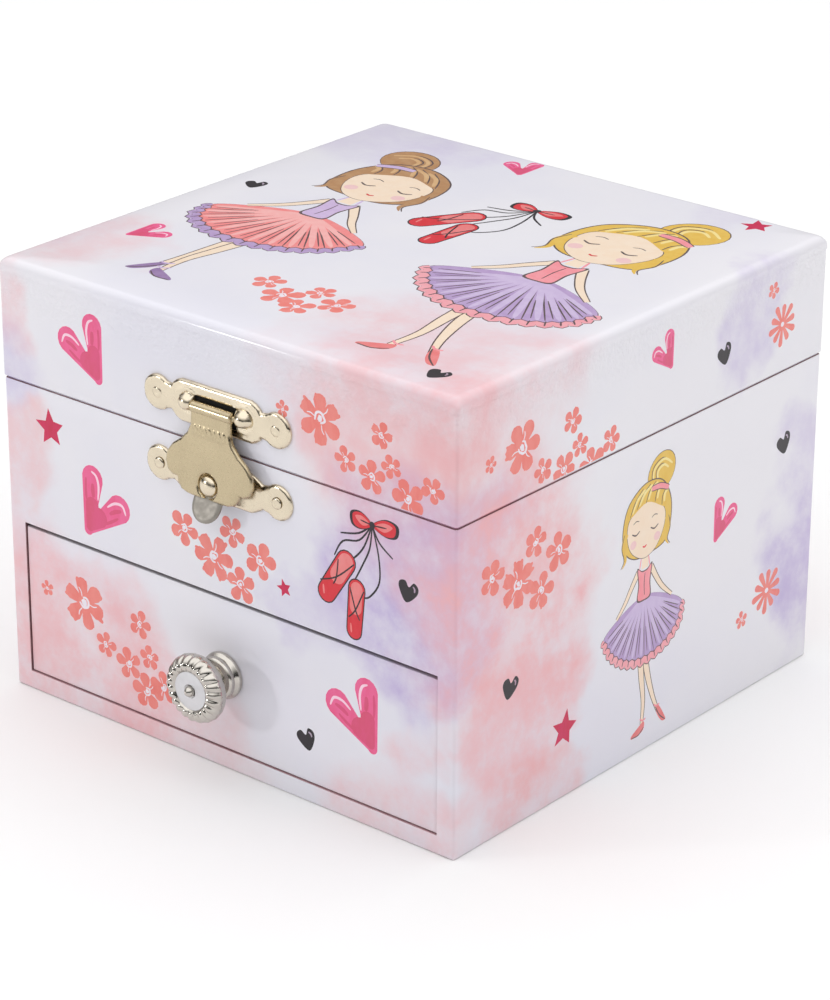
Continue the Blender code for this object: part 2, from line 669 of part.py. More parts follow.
def make_barrel(brass, steel):
    """Spring barrel: a toothed cup on the winding arbor, open towards the frame, with the mainspring in it."""
    axis = joint_empty("barrel_axis", on_axis(BARREL_X, BARREL_BACK))
    place = on_axis(BARREL_X, 0)
    teeth = gear_outline(BARREL_TEETH)
    wheel = prism_mesh("spring_barrel", teeth, BARREL_GEAR_Y, BARREL_GEAR_Y + 0.002, ROUND_Y)
    barrel = add_object("spring_barrel", wheel, place, brass, axis)
    shell_profile = [(0.0070, BARREL_FRONT), (0.0074, BARREL_FRONT + 0.0004), (0.0074, BARREL_BACK)]
    join(barrel, helper("barrel_shell", lathe_mesh("barrel_shell", shell_profile, 32, ALONG_Y), place))
    hollow = [(0.0068, BARREL_FRONT + 0.0007), (0.0068, BARREL_BACK + 0.002)]
    hollow_mesh = lathe_mesh("barrel_hollow_cutter", hollow, 32, ALONG_Y)
    cut(barrel, helper("barrel_hollow_cutter", hollow_mesh, place))
    bore_start = on_axis(BARREL_X, BARREL_FRONT - 0.002)
    cut(barrel, rod_cutter("barrel_bore", ARBOR_RADIUS + 0.0003, bore_start, 0.005, ALONG_Y))

    turns, steps = 5, 16
    inner, outer, strip = 0.0021, 0.0063, 0.0003
    rims = ([], [])
    for k in range(turns * steps + 1):
        a = 2 * math.pi * k / steps
        radius = inner + (outer - inner) * k / (turns * steps)
        for rim, r in zip(rims, (radius, radius + strip)):
            rim.append((r * math.cos(a), r * math.sin(a)))
    spiral = rims[1] + rims[0][::-1]
    spring_mesh = prism_mesh("mainspring", spiral, BARREL_FRONT + 0.0012, BARREL_BACK - 0.0006, ROUND_Y)
    add_object("mainspring", spring_mesh, place, steel, axis)


def make_key(brass, steel):
    """Winding arbor through the back wall, with a butterfly key on its end."""
    axis = joint_empty("key_axis", on_axis(BARREL_X, DEPTH / 2))
    key_front = DEPTH / 2 + 0.0012
    arbor_profile = [(ARBOR_RADIUS, BARREL_FRONT - 0.0008), (ARBOR_RADIUS, key_front + 0.006)]
    arbor = lathe_mesh("winding_arbor", arbor_profile, 16, ALONG_Y)
    add_object("winding_arbor", arbor, on_axis(BARREL_X, 0), steel, axis, 40)
    hub_profile = [(0.0024, 0), (0.0031, 0.0004), (0.0031, 0.0055), (0.0024, 0.0068), (0.0018, 0.0100)]
    hub = lathe_mesh("winding_key", hub_profile, 20, ALONG_Y)
    key = add_object("winding_key", hub, on_axis(BARREL_X, key_front), brass, axis, 40)
    # The wings are one flat bow, standing out behind the hub
    bow = [*arc((0.0058, 0.0125), 0.0046, -118, 128, 12), (0.0, 0.0134)]
    bow += [(-x, y) for x, y in reversed(bow[:-1])]
    wings = helper("key_wings", prism_mesh("key_wings", bow, -0.0008, 0.0008), on_axis(BARREL_X, key_front))
    join(key, wings)
    bore_start = on_axis(BARREL_X, key_front - 0.001)
    cut(key, rod_cutter("key_bore", ARBOR_RADIUS + 0.0003, bore_start, 0.0075, ALONG_Y))


def make_cylinder(brass):
    """Pinned cylinder with a gear at each end: the barrel drives the back one, and the front one the rest."""
    axis = joint_empty("cylinder_axis", on_axis(CYLINDER_X, DRUM_FRONT))
    place = on_axis(CYLINDER_X, 0)
    drum = [
        (0.0009, FRAME_FRONT + 0.0004),
        (0.0009, DRUM_FRONT),
        (DRUM_RADIUS, DRUM_FRONT),
        (DRUM_RADIUS, DRUM_BACK),
        (0.0009, DRUM_BACK),
        (0.0009, FRAME_BACK - 0.0006),
    ]
    drum_mesh = lathe_mesh("pinned_cylinder", drum, 32, ALONG_Y)
    cylinder = add_object("pinned_cylinder", drum_mesh, place, brass, axis, 40)
    gears = (
        ("cylinder_back_gear", 0.5, BARREL_GEAR_Y - 0.0003, BARREL_GEAR_Y + 0.0017),
        ("cylinder_front_gear", 0.0, FRONT_GEAR_Y - 0.0007, FRONT_GEAR_Y + 0.0007),
    )
    for name, phase, low, high in gears:
        gear = prism_mesh(name, gear_outline(CYLINDER_TEETH, phase), low, high, ROUND_Y)
        join(cylinder, helper(name, gear, place))

    pins = bmesh.new()
    golden_angle = math.radians(137.5)
    pin_size = Matrix.Diagonal((0.0007, 0.0003, 0.0003, 1.0))
    for track in range(COMB_TEETH):
        y = COMB_START + (track + 0.5) * COMB_PITCH
        for note in range(3):
            turn = Matrix.Rotation(golden_angle * (3 * track + note), 4, "Y")
            seat = Matrix.Translation((0, y, 0)) @ turn @ Matrix.Translation((DRUM_RADIUS, 0, 0))
            bmesh.ops.create_cube(pins, size=1.0, matrix=seat @ pin_size)
    join(cylinder, helper("cylinder_pins", mesh_of(pins, "cylinder_pins"), place))


def make_comb(steel):
    """Steel comb: a bar on the frame's seat with a tooth for each of the cylinder's tracks."""
    tip, root, comb_back = -(DRUM_RADIUS + 0.0008), -0.0125, -0.0175
    half_tooth = 0.38 * COMB_PITCH
    outline = [(comb_back, COMB_START), (root, COMB_START)]
    for tooth in range(COMB_TEETH):
        y = COMB_START + (tooth + 0.5) * COMB_PITCH
        slot_end = root + 0.0030 * (1 - tooth / COMB_TEETH)
        near, far_side = y - half_tooth, y + half_tooth
        outline += [(slot_end, near), (tip, near), (tip, far_side), (slot_end, far_side)]
    far = COMB_START + COMB_TEETH * COMB_PITCH
    outline += [(root, far), (comb_back, far)]
    mesh = prism_mesh("music_comb", outline, AXIS_HEIGHT - 0.0005, AXIS_HEIGHT + 0.0004)
    add_object("music_comb", mesh, look=steel)


def worm_radius(height, angle):
    """The endless screw's radius at a height above its middle: a thread, or a plain pivot past its ends."""
    if abs(height) > THREAD_HALF + 1e-9:
        return WORM_PIVOT_RADIUS + 0.0002
    along = height / WORM_LEAD - (angle - math.pi) / (2 * math.pi)
    from_crest = abs((along - 0.5) - round(along - 0.5))
    lift = max(0.0, 1 - from_crest / 0.26)
    fade = min(1.0, max(0.0, (THREAD_HALF - abs(height)) / 0.0006))
    return WORM_ROOT_RADIUS + (WORM_CREST_RADIUS - WORM_ROOT_RADIUS) * lift * fade


def make_governor(steel):
    """Endless screw with an air brake under it, in a bracket beside the cylinder's front gear."""
    column_x = WORM_X + 0.0050
    base = FRAME_LOW + BED + GAP
    top = STAGE_BOTTOM - 0.0052
    bracket = box("governor_bracket", (column_x, 0.0210, base), (column_x + 0.002, 0.0250, top), steel)
    arm_low = Vector((WORM_X - 0.002, 0.0210, top - 0.0012))
    arm_high = Vector((column_x + 0.001, 0.0250, top))
    arm = box_mesh("governor_arm", arm_high - arm_low)
    join(bracket, helper("governor_arm", arm, (arm_low + arm_high) / 2))
    cut(bracket, rod_cutter("governor_bore", 0.0007, (WORM_X, FRONT_GEAR_Y, top - 0.0020), 0.0030))

    axis = joint_empty("governor_axis", (WORM_X, FRONT_GEAR_Y, AXIS_HEIGHT))
    sides, rows = 16, 40
    low, high = base - 0.0001 + GAP - AXIS_HEIGHT, top - 0.0006 - AXIS_HEIGHT
    shoulder = THREAD_HALF + 0.0002
    threaded = [-THREAD_HALF + 2 * THREAD_HALF * k / rows for k in range(rows + 1)]
    bm = bmesh.new()
    rings = []
    for height in (low, -shoulder, *threaded, shoulder, high):
        ring = []
        for s in range(sides):
            a = 2 * math.pi * s / sides
            radius = worm_radius(height, a)
            ring.append(bm.verts.new((radius * math.cos(a), radius * math.sin(a), height)))
        rings.append(ring)
    for lower, upper in zip(rings, rings[1:]):
        for s in range(sides):
            n = (s + 1) % sides
            bm.faces.new((lower[s], lower[n], upper[n], upper[s]))
    bm.faces.new(rings[0])
    bm.faces.new(rings[-1])
    worm_place = (WORM_X, FRONT_GEAR_Y, AXIS_HEIGHT)
    fly = add_object("governor_fly", mesh_of(bm, "governor_fly"), worm_place, steel, axis)
    wing_place = (WORM_X, FRONT_GEAR_Y, base + 0.0018)
    join(fly, helper("fly_wings", box_mesh("fly_wings", (0.0005, 0.0088, 0.0024)), wing_place))
    hub = [(0.0011, -0.0014), (0.0011, 0.0014)]
    join(fly, helper("fly_hub", lathe_mesh("fly_hub", hub, 12), wing_place))


def make_spindle(brass):
    """Upright spindle: a crown wheel on the cylinder's front gear, a shaft through the stage, and a cup."""
    axis = joint_empty("spindle_axis", (CYLINDER_X, SPINDLE_Y, STAGE_BOTTOM))
    gear_top = AXIS_HEIGHT + CYLINDER_RADIUS + 0.00034
    tooth_low = gear_top - 0.0007
    disc_low, disc_high = gear_top + 0.0004, gear_top + 0.0016
    profile = [
        (0.0085, disc_low),
        (0.0087, disc_high),
        (0.0030, disc_high),
        (0.0030, STAGE_BOTTOM - 0.0004),
        (0.0015, STAGE_BOTTOM - 0.0004),
        (0.0015, STAGE_TOP + 0.0004),
        (0.0027, STAGE_TOP + 0.0004),
        (0.0027, STAGE_TOP + 0.0018),
        (0.0020, STAGE_TOP + 0.0022),
    ]
    place = (CYLINDER_X, SPINDLE_Y, 0)
    spindle_mesh = lathe_mesh("dancer_spindle", profile, 32)
    spindle = add_object("dancer_spindle", spindle_mesh, place, brass, axis, 40)
    teeth = bmesh.new()
    width = 0.36 * math.pi * MODULE
    height = disc_low + 0.0003 - tooth_low
    for k in range(CROWN_TEETH):
        turn = Matrix.Rotation(2 * math.pi * (k + 0.5) / CROWN_TEETH + math.pi / 2, 4, "Z")
        seat = turn @ Matrix.Translation((CROWN_RADIUS, 0, tooth_low + height / 2))
        tooth_size = Matrix.Diagonal((0.0010, width, height, 1.0))
        made = bmesh.ops.create_cube(teeth, size=1.0, matrix=seat @ tooth_size)
        lower = [v for v in made["verts"] if v.co.z < tooth_low + height / 2]
        middle = sum((v.co for v in lower), Vector()) / len(lower)
        across = (turn @ Vector((0, 1, 0))).normalized()
        for vert in lower:
            vert.co -= across * (vert.co - middle).dot(across) * 0.4
    join(spindle, helper("crown_teeth", mesh_of(teeth, "crown_teeth"), place))


def make_stop_wire(steel):
    """Wire that the closed lid holds down, stopping the air brake."""
    axis = joint_empty("stop_wire_slide", STOP_WIRE)
    low = FRAME_LOW + 0.003
    top = MIRROR_BOARD_LOW - 0.0004
    profile = [
        (0.0007, low),
        (0.0007, top - 0.0016),
        (0.0011, top - 0.0012),
        (0.0011, top - 0.0004),
        (0.0006, top),
    ]
    place = (STOP_WIRE.x, STOP_WIRE.y, 0)
    wire = add_object("stop_wire", lathe_mesh("stop_wire", profile, 12), place, steel, axis, 40)
    # An arm from its foot ends just outside the sweep of the air brake's wings
    to_wire = Vector((STOP_WIRE.x - WORM_X, STOP_WIRE.y - FRONT_GEAR_Y, 0))
    arm_end = to_wire.normalized() * 0.0054 - to_wire
    arm_rise = Vector((0, 0, low + 0.0010))
    arm = tube_mesh("stop_arm", [arm_rise, arm_rise + arm_end], 0.0005)
    join(wire, helper("stop_arm", arm, place))


# ---- dancer -------------------------------------------------------------------------------------
SPRING_LOW = 0.0009  # above the pivot, along the dancer
SPRING_HIGH = 0.0082
TUTU_RADIUS = 0.0120


def make_dancer(plastic, tulle, steel):
    """Modelled upright above the pivot; the tilt empty leans it forward to lie under the closed lid."""
    tilt = joint_empty("dancer_tilt", DANCER_PIVOT, lean=FOLD_ANGLE)
    turns, steps, radius = 6, 12, 0.0015
    curve = bpy.data.curves.new("dancer_spring", "CURVE")
    curve.dimensions = "3D"
    curve.bevel_depth = 0.0003
    curve.bevel_resolution = 1
    curve.use_fill_caps = True
    spline = curve.splines.new("POLY")
    spline.points.add(turns * steps)
    rise = SPRING_HIGH - SPRING_LOW - 0.0008
    for k, point in enumerate(spline.points):
        a = 2 * math.pi * k / steps
        height = SPRING_LOW + 0.0004 + rise * k / (turns * steps)
        point.co = (radius * math.cos(a), radius * math.sin(a), height, 1)
    spring = bpy.data.objects.new("dancer_spring", curve)
    bpy.context.scene.collection.objects.link(spring)
    curve.materials.append(steel)
    spring.parent = tilt

    body = [
        (0.0022, SPRING_HIGH + 0.0003),
        (0.0022, 0.0098),
        (0.0008, 0.0104),
        (0.0009, 0.0130),
        (0.0012, 0.0170),
        (0.0016, 0.0215),
        (0.0019, 0.0240),
        (0.0017, 0.0268),
        (0.0024, 0.0300),
        (0.0026, 0.0322),
        (0.0011, 0.0344),
        (0.0010, 0.0356),
        (0.0020, 0.0368),
        (0.0028, 0.0392),
        (0.0026, 0.0414),
        (0.0015, 0.0428),
        (0.0014, 0.0438),
        (0.0010, 0.0450),
        (0, 0.0454),
    ]
    body_mesh = lathe_mesh("dancer_figure", body, 16)
    figure = add_object("dancer_figure", body_mesh, look=plastic, parent=tilt, smooth=50)
    for side in (-1, 1):
        points = []
        for k in range(9):
            a = math.radians(-72 + 160 * k / 8)
            out = 0.0060 * (1.0 - 0.1 * k / 8) * math.cos(a)
            points.append((side * out, -0.0006, 0.0415 + 0.0100 * math.sin(a)))
        name = f"arm_{'left' if side < 0 else 'right'}"
        arm = helper(name, tube_mesh(name, [(side * 0.0012, 0, 0.0322), *points], 0.0007, 8))
        arm.parent = tilt
        join(figure, arm)

    skirt = [
        (0.0022, 0.0246),
        (0.0060, 0.0232),
        (0.0110, 0.0214),
        (TUTU_RADIUS, 0.0212),
        (TUTU_RADIUS, 0.0222),
        (0.0060, 0.0246),
        (0.0030, 0.0262),
        (0.0022, 0.0262),
    ]
    skirt_mesh = lathe_mesh("dancer_tutu", skirt, hollow=True)
    add_object("dancer_tutu", skirt_mesh, look=tulle, parent=tilt, smooth=40)


# ---- assembly -----------------------------------------------------------------------------------
def main():
    clear_scene()
    board = material("paper_board", (0.86, 0.80, 0.84), 0.45)
    lining = material("pink_lining", (0.85, 0.52, 0.60), 0.9)
    velvet = material("ring_velvet", (0.80, 0.35, 0.48), 0.95)
    glass = material("mirror_glass", (0.88, 0.90, 0.92), 0.05, 1.0)
    gold = material("pale_brass", (0.80, 0.72, 0.52), 0.25, 1.0)
    chrome = material("chrome", (0.78, 0.78, 0.78), 0.12, 1.0)
    steel = material("steel", (0.60, 0.60, 0.62), 0.35, 1.0)
    brass = material("movement_brass", (0.78, 0.62, 0.30), 0.3, 1.0)
    plastic = material("dancer_plastic", (0.93, 0.78, 0.70), 0.4)
    tulle = material("dancer_tulle", (0.93, 0.62, 0.72), 0.8)

    make_case(board, lining)
    make_ring_rolls(velvet)
    lid_pivot = make_lid(board, lining, glass)
    upper, lower = make_hasp(gold, lid_pivot)
    nails = []
    for side_name, side in (("left", -1), ("right", 1)):
        nails.append((f"latch_upper_nail_{side_name}", upper, side * NAIL_X, HASP_AXIS.z, -1, lid_pivot))
        nails.append((f"latch_lower_nail_{side_name}", lower, side * NAIL_X, LOWER_PLATE_Z, -1, None))
    leaf_middle = LEAF_START + 0.6 * LEAF_LENGTH
    for side_name, x in (("left", -HINGE_X), ("right", HINGE_X)):
        leaves = make_hinge(side_name, x, steel, lid_pivot)
        for part, sign, parent in (("lower", -1, None), ("upper", 1, lid_pivot)):
            for number, shift in ((1, -LEAF_NAIL_X), (2, LEAF_NAIL_X)):
                name = f"hinge_{side_name}_{part}_nail_{number}"
                height = HINGE_AXIS.z + sign * leaf_middle
                nails.append((name, leaves[part], x + shift, height, 1, parent))
    make_nails(gold, nails)
    make_drawer(board, lining, chrome, steel)
    make_frame(steel)
    make_barrel(brass, steel)
    make_key(gold, steel)
    make_cylinder(brass)
    make_comb(steel)
    make_governor(steel)
    make_spindle(brass)
    make_stop_wire(steel)
    make_dancer(plastic, tulle, steel)


main()
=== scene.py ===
"""Looks for the ballerina jewellery box, round the CAD frame: printed paper, latch, knob, lining, ring
rolls and dancer."""

import json
import math
import random

import bmesh
import bpy
from mathutils import Matrix, Vector
from mathutils.geometry import delaunay_2d_cdt


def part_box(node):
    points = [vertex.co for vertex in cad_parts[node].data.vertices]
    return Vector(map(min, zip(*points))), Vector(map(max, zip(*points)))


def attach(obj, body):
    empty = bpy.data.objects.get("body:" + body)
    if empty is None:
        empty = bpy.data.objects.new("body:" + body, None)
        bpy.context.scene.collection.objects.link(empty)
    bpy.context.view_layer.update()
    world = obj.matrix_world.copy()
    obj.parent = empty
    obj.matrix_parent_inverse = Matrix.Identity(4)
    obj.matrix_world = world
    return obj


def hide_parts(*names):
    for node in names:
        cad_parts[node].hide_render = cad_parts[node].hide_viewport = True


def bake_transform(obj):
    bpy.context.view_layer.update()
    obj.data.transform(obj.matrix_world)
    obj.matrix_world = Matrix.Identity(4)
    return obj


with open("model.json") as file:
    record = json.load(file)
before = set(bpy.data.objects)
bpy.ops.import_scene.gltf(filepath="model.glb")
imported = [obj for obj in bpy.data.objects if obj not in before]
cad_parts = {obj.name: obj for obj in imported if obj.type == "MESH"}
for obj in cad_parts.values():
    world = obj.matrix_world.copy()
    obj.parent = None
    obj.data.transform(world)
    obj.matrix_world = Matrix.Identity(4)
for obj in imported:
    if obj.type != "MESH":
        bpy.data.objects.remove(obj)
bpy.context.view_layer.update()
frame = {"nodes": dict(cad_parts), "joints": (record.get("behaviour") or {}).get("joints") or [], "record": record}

MM = 0.001
PAPER = 0.25  # the paper's outside stands this far off the board, in mm
PAPER_THICKNESS = 0.12  # in mm
HALF = 60.0  # half the case's width and depth, in mm
CORNER = 0.7  # radius of the case's upright edges, in mm
CORNER_STEPS = 4  # straight pieces in each of those corners


def millimetres(node):
    """The lowest and highest corner of a CAD node, in mm."""
    low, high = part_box(node)
    return [c / MM for c in low], [c / MM for c in high]


# ---- shader nodes -------------------------------------------------------------------------------
MIX_FACTOR, MIX_FIRST, MIX_SECOND, MIX_RESULT = 0, 6, 7, 2  # the Mix node's sockets for colours


def linear(colour, share=1.0):
    """An sRGB colour as scene-linear, made darker or lighter by a share."""
    light = [c / 12.92 if c <= 0.04045 else ((c + 0.055) / 1.055) ** 2.4 for c in colour]
    return tuple(min(1.0, c * share) for c in light)


class Shader:
    """A Principled material under construction, with short calls for its nodes."""

    def __init__(self, name, colour=(0.8, 0.8, 0.8), roughness=0.5, metallic=0.0):
        self.material = bpy.data.materials.new(name)
        self.material.use_nodes = True
        self.tree = self.material.node_tree
        self.shader = self.tree.nodes["Principled BSDF"]
        self.set("Base Color", (*linear(colour), 1.0))
        self.set("Roughness", roughness)
        self.set("Metallic", metallic)
        self.place = self.node("ShaderNodeTexCoord").outputs["Object"]

    def feed(self, socket, value):
        """Gives a socket a value, or another node's output."""
        if isinstance(value, bpy.types.NodeSocket):
            self.tree.links.new(value, socket)
        else:
            socket.default_value = value

    def set(self, socket, value):
        self.feed(self.shader.inputs[socket], value)

    def node(self, kind, inputs=None, **settings):
        """A new node, with its inputs by name or number."""
        made = self.tree.nodes.new(kind)
        for key, value in settings.items():
            setattr(made, key, value)
        for key, value in (inputs or {}).items():
            self.feed(made.inputs[key], value)
        return made

    def maths(self, operation, *values):
        return self.node("ShaderNodeMath", dict(enumerate(values)), operation=operation).outputs[0]

    def vector(self, operation, *values):
        return self.node("ShaderNodeVectorMath", dict(enumerate(values)), operation=operation)

    def ramp(self, value, low, high, to_low=0.0, to_high=1.0):
        """A smooth step from one number to another as the value goes from low to high."""
        inputs = {"Value": value, "From Min": low, "From Max": high, "To Min": to_low, "To Max": to_high}
        return self.node("ShaderNodeMapRange", inputs, interpolation_type="SMOOTHSTEP").outputs[0]

    def noise(self, scale, detail=4.0, roughness=0.5, stretch=None, output="Fac"):
        place = self.place
        if stretch:
            place = self.node("ShaderNodeMapping", {"Vector": place, "Scale": stretch}).outputs[0]
        inputs = {"Vector": place, "Scale": scale, "Detail": detail, "Roughness": roughness}
        return self.node("ShaderNodeTexNoise", inputs).outputs[output]

    def mix(self, factor, first, second):
        """Two colours mixed, each a plain colour or an output."""
        inputs = {MIX_FACTOR: factor}
        for key, colour in ((MIX_FIRST, first), (MIX_SECOND, second)):
            inputs[key] = (*colour, 1.0) if isinstance(colour, tuple) else colour
        return self.node("ShaderNodeMix", inputs, data_type="RGBA").outputs[MIX_RESULT]

    def bump(self, height, distance, strength, before=None):
        """Relief, on top of the relief before it."""
        inputs = {"Height": height, "Distance": distance, "Strength": strength}
        if before:
            inputs["Normal"] = before
        relief = self.node("ShaderNodeBump", inputs).outputs[0]
        self.set("Normal", relief)
        return relief


PAPER_WHITE = (0.920, 0.912, 0.935)
PAPER_GREY = (0.895, 0.890, 0.930)
PINK = (0.93, 0.70, 0.72)
ROSE = (0.93, 0.62, 0.62)
LILAC = (0.76, 0.70, 0.86)
# Soft patches of watercolour: centre in mm, radius in mm, colour, strength
WASHES = (
    ((-44, -60, 12), 32, PINK, 0.75),
    ((-10, -60, -6), 26, PINK, 0.45),
    ((44, -60, -6), 24, PINK, 0.55),
    ((-58, -60, 52), 16, ROSE, 0.40),
    ((48, -60, 55), 26, LILAC, 0.95),
    ((22, -60, 45), 10, LILAC, 0.40),
    ((40, -60, 86), 25, ROSE, 0.30),
    ((58, -56, 84), 15, ROSE, 0.36),
    ((-62, -62, 88), 13, PINK, 0.50),
    ((63, -42, 50), 28, PINK, 0.90),
    ((63, -46, 24), 22, PINK, 0.70),
    ((60, -36, 2), 15, ROSE, 0.45),
    ((60, -57, 92), 16, PINK, 0.50),
    ((60, 60, 26), 23, LILAC, 0.85),
    ((60, 52, 50), 12, LILAC, 0.45),
    ((60, 34, 80), 16, LILAC, 0.55),
    ((50, -56, 96), 44, PINK, 0.50),
    ((-58, -44, 96), 22, PINK, 0.42),
    ((-44, 60, 96), 28, LILAC, 0.30),
    ((34, 62, 96), 15, LILAC, 0.20),
    ((-60, 10, 30), 40, PINK, 0.70),
    ((-60, -40, 76), 24, LILAC, 0.50),
    ((20, 60, 20), 38, PINK, 0.70),
    ((-30, 60, 70), 30, LILAC, 0.60),
)
WASH_WANDER = 0.022  # how far a wash's edge strays, in metres
WASH_FADE = (0.60, 1.05)  # a wash is full inside this share of its radius, and gone outside that one
EDGE_DIMPLES = 11.0  # the film's dimples along the lid's upper edge, against PLAIN_DIMPLES elsewhere
PLAIN_DIMPLES = 0.5


def printed_paper():
    """Glossy laminated paper. The attribute "ink" holds a printed shape's colour, and its cover in alpha."""
    s = Shader("printed_paper", roughness=0.36)
    # Each point is coloured as if it lay a little aside, so the washes' edges are uneven
    aside = s.vector("SUBTRACT", s.place, (WASH_WANDER,) * 3).outputs[0]
    drift = s.noise(34, detail=5, output="Color")
    aside = s.vector("MULTIPLY_ADD", drift, (2 * WASH_WANDER,) * 3, aside).outputs[0]
    cloud = s.ramp(s.noise(75, detail=6, roughness=0.65), 0.30, 0.68, 0.35, 1.15)
    colour = s.mix(s.ramp(s.noise(22), 0.35, 0.70), linear(PAPER_WHITE), linear(PAPER_GREY))
    for centre, radius, tint, strength in WASHES:
        distance = s.vector("DISTANCE", aside, [c * MM for c in centre]).outputs["Value"]
        full, gone = (radius * MM * share for share in WASH_FADE)
        near = s.ramp(distance, full, gone, strength, 0.0)
        colour = s.mix(s.maths("MULTIPLY", near, cloud), colour, linear(tint))
    ink = s.node("ShaderNodeAttribute", attribute_name="ink").outputs
    strokes = s.ramp(s.noise(420, detail=3, roughness=0.65, stretch=(1, 1, 0.45)), 0.30, 0.72)
    lighter = s.node("ShaderNodeGamma", {"Color": ink["Color"], "Gamma": 0.84}).outputs[0]
    s.set("Base Color", s.mix(ink["Alpha"], colour, s.mix(strokes, ink["Color"], lighter)))
    # The film's dimples are deepest along the lid's upper edge
    height = s.node("ShaderNodeSeparateXYZ", {0: s.place}).outputs["Z"]
    along_edge = s.maths("MULTIPLY", s.ramp(height, 0.083, 0.090), s.ramp(height, 0.0935, 0.0955, 1.0, 0.0))
    depth = s.maths("MULTIPLY_ADD", along_edge, EDGE_DIMPLES, PLAIN_DIMPLES)
    dimples = s.maths("MULTIPLY", s.noise(950, detail=2, roughness=0.55), depth)
    s.bump(s.noise(90, detail=2), 0.00025, 0.35, s.bump(dimples, 0.00006, 0.55))
    s.set("Specular IOR Level", 0.22)
    s.set("Coat Weight", 0.55)
    s.set("Coat Roughness", 0.14)
    return s.material


def metal(name, colour, roughness, grain=0.02, stretch=None, dents=0.0):
    """Bare or plated metal with fine wear in its roughness, and shallow dents if it is thin sheet."""
    s = Shader(name, colour, roughness, 1.0)
    wear = s.noise(900, detail=5, roughness=0.6, stretch=stretch)
    s.set("Roughness", s.ramp(wear, 0.25, 0.75, max(0.03, roughness - 0.07), roughness + 0.10))
    stains = s.ramp(s.noise(160), 0.35, 0.75, 0.0, 0.35)
    s.set("Base Color", s.mix(stains, linear(colour), linear(colour, 0.82)))
    fine = s.bump(wear, 0.00003, grain * 10)
    if dents:
        s.bump(s.noise(260, detail=2), 0.00022, dents, fine)
    return s.material


def flocked(name, colour, sheen=0.6):
    """Short pile: a soft cloth look for the lining and the ring rolls."""
    s = Shader(name, colour, 0.95)
    pile = s.noise(2600, detail=3, roughness=0.7)
    shade = s.mix(s.ramp(s.noise(60), 0.35, 0.70), linear(colour), linear(colour, 0.80))
    s.set("Base Color", s.mix(s.ramp(pile, 0.35, 0.75, 0.0, 0.5), shade, linear(colour, 1.35)))
    s.bump(pile, 0.00018, 0.5)
    s.set("Sheen Weight", sheen)
    s.set("Sheen Roughness", 0.45)
    return s.material


def painted(name, colour, roughness=0.38):
    """Moulded plastic with a brushed coat of paint."""
    s = Shader(name, colour, roughness)
    blotches = s.ramp(s.noise(240), 0.35, 0.70, 0.0, 0.35)
    s.set("Base Color", s.mix(blotches, linear(colour), linear(colour, 0.86)))
    s.bump(s.noise(1400, detail=3), 0.00004, 0.4)
    s.set("Coat Weight", 0.25)
    s.set("Coat Roughness", 0.25)
    return s.material


def tulle_cloth():
    """Net: a fine weave of threads with gaps between them."""
    s = Shader("tulle", (0.96, 0.70, 0.79), 0.85)
    threads = []
    for turn in (0.0, 1.57):
        turned_place = s.node("ShaderNodeMapping", {"Vector": s.place, "Rotation": (0, 0, turn)}).outputs[0]
        inputs = {"Vector": turned_place, "Scale": 900}
        wave = s.node("ShaderNodeTexWave", inputs, wave_type="BANDS", bands_direction="DIAGONAL")
        threads.append(wave.outputs["Fac"])
    net = s.maths("MAXIMUM", *threads)
    s.set("Alpha", s.ramp(net, 0.45, 0.80, 0.35, 0.9))
    s.bump(net, 0.0001, 0.3)
    s.set("Sheen Weight", 0.4)
    return s.material


# ---- drawing ------------------------------------------------------------------------------------
# A drawing is a list of (outline, ink) in mm, later ones on top. An ink is a colour and its cover.
CORAL = ((0.925, 0.46, 0.42), 0.97)
HEART_PINK = ((0.92, 0.29, 0.52), 0.97)
HEART_DEEP = ((0.85, 0.06, 0.36), 0.92)
HEART_LIGHT = ((1.0, 0.80, 0.88), 0.9)
# Painted shade: dark inks on the paper turned in at the seams and round the drawer's opening
GAP_SHADE = ((0.48, 0.34, 0.35), 1.0)
SOFT_SHADE = ((0.66, 0.50, 0.52), 1.0)
DEEP_SHADE = ((0.22, 0.10, 0.10), 1.0)
CRIMSON = ((0.78, 0.02, 0.26), 1.0)
BLACK_INK = ((0.07, 0.03, 0.07), 1.0)
BLACK_SHINE = ((0.6, 0.5, 0.6), 0.8)
RED = ((0.84, 0.09, 0.15), 1.0)
SALMON = ((0.91, 0.46, 0.46), 1.0)
SKIN = ((0.965, 0.87, 0.77), 1.0)
BLUSH = ((0.965, 0.64, 0.60), 0.55)
OUTLINE = ((0.23, 0.13, 0.12), 0.95)
PAPER_SHOWS = ((0.93, 0.90, 0.94), 0.9)
BLOND = ((0.895, 0.72, 0.27), 1.0)
BLOND_LIGHT = ((0.96, 0.87, 0.56), 1.0)
BROWN = ((0.70, 0.51, 0.33), 1.0)
BROWN_LIGHT = ((0.83, 0.66, 0.46), 1.0)
LILAC_SKIRT = ((0.70, 0.59, 0.78), 1.0)
LILAC_SKIRT_LIGHT = ((0.79, 0.71, 0.86), 1.0)
CORAL_SKIRT = ((0.945, 0.52, 0.52), 1.0)
CORAL_SKIRT_LIGHT = ((0.965, 0.68, 0.67), 1.0)
PINK_FRILL = ((0.94, 0.62, 0.66), 1.0)
PINK_BODICE = ((0.955, 0.56, 0.60), 1.0)
LILAC_SHOES = ((0.56, 0.44, 0.64), 1.0)
LILAC_BODICE = ((0.80, 0.70, 0.86), 1.0)
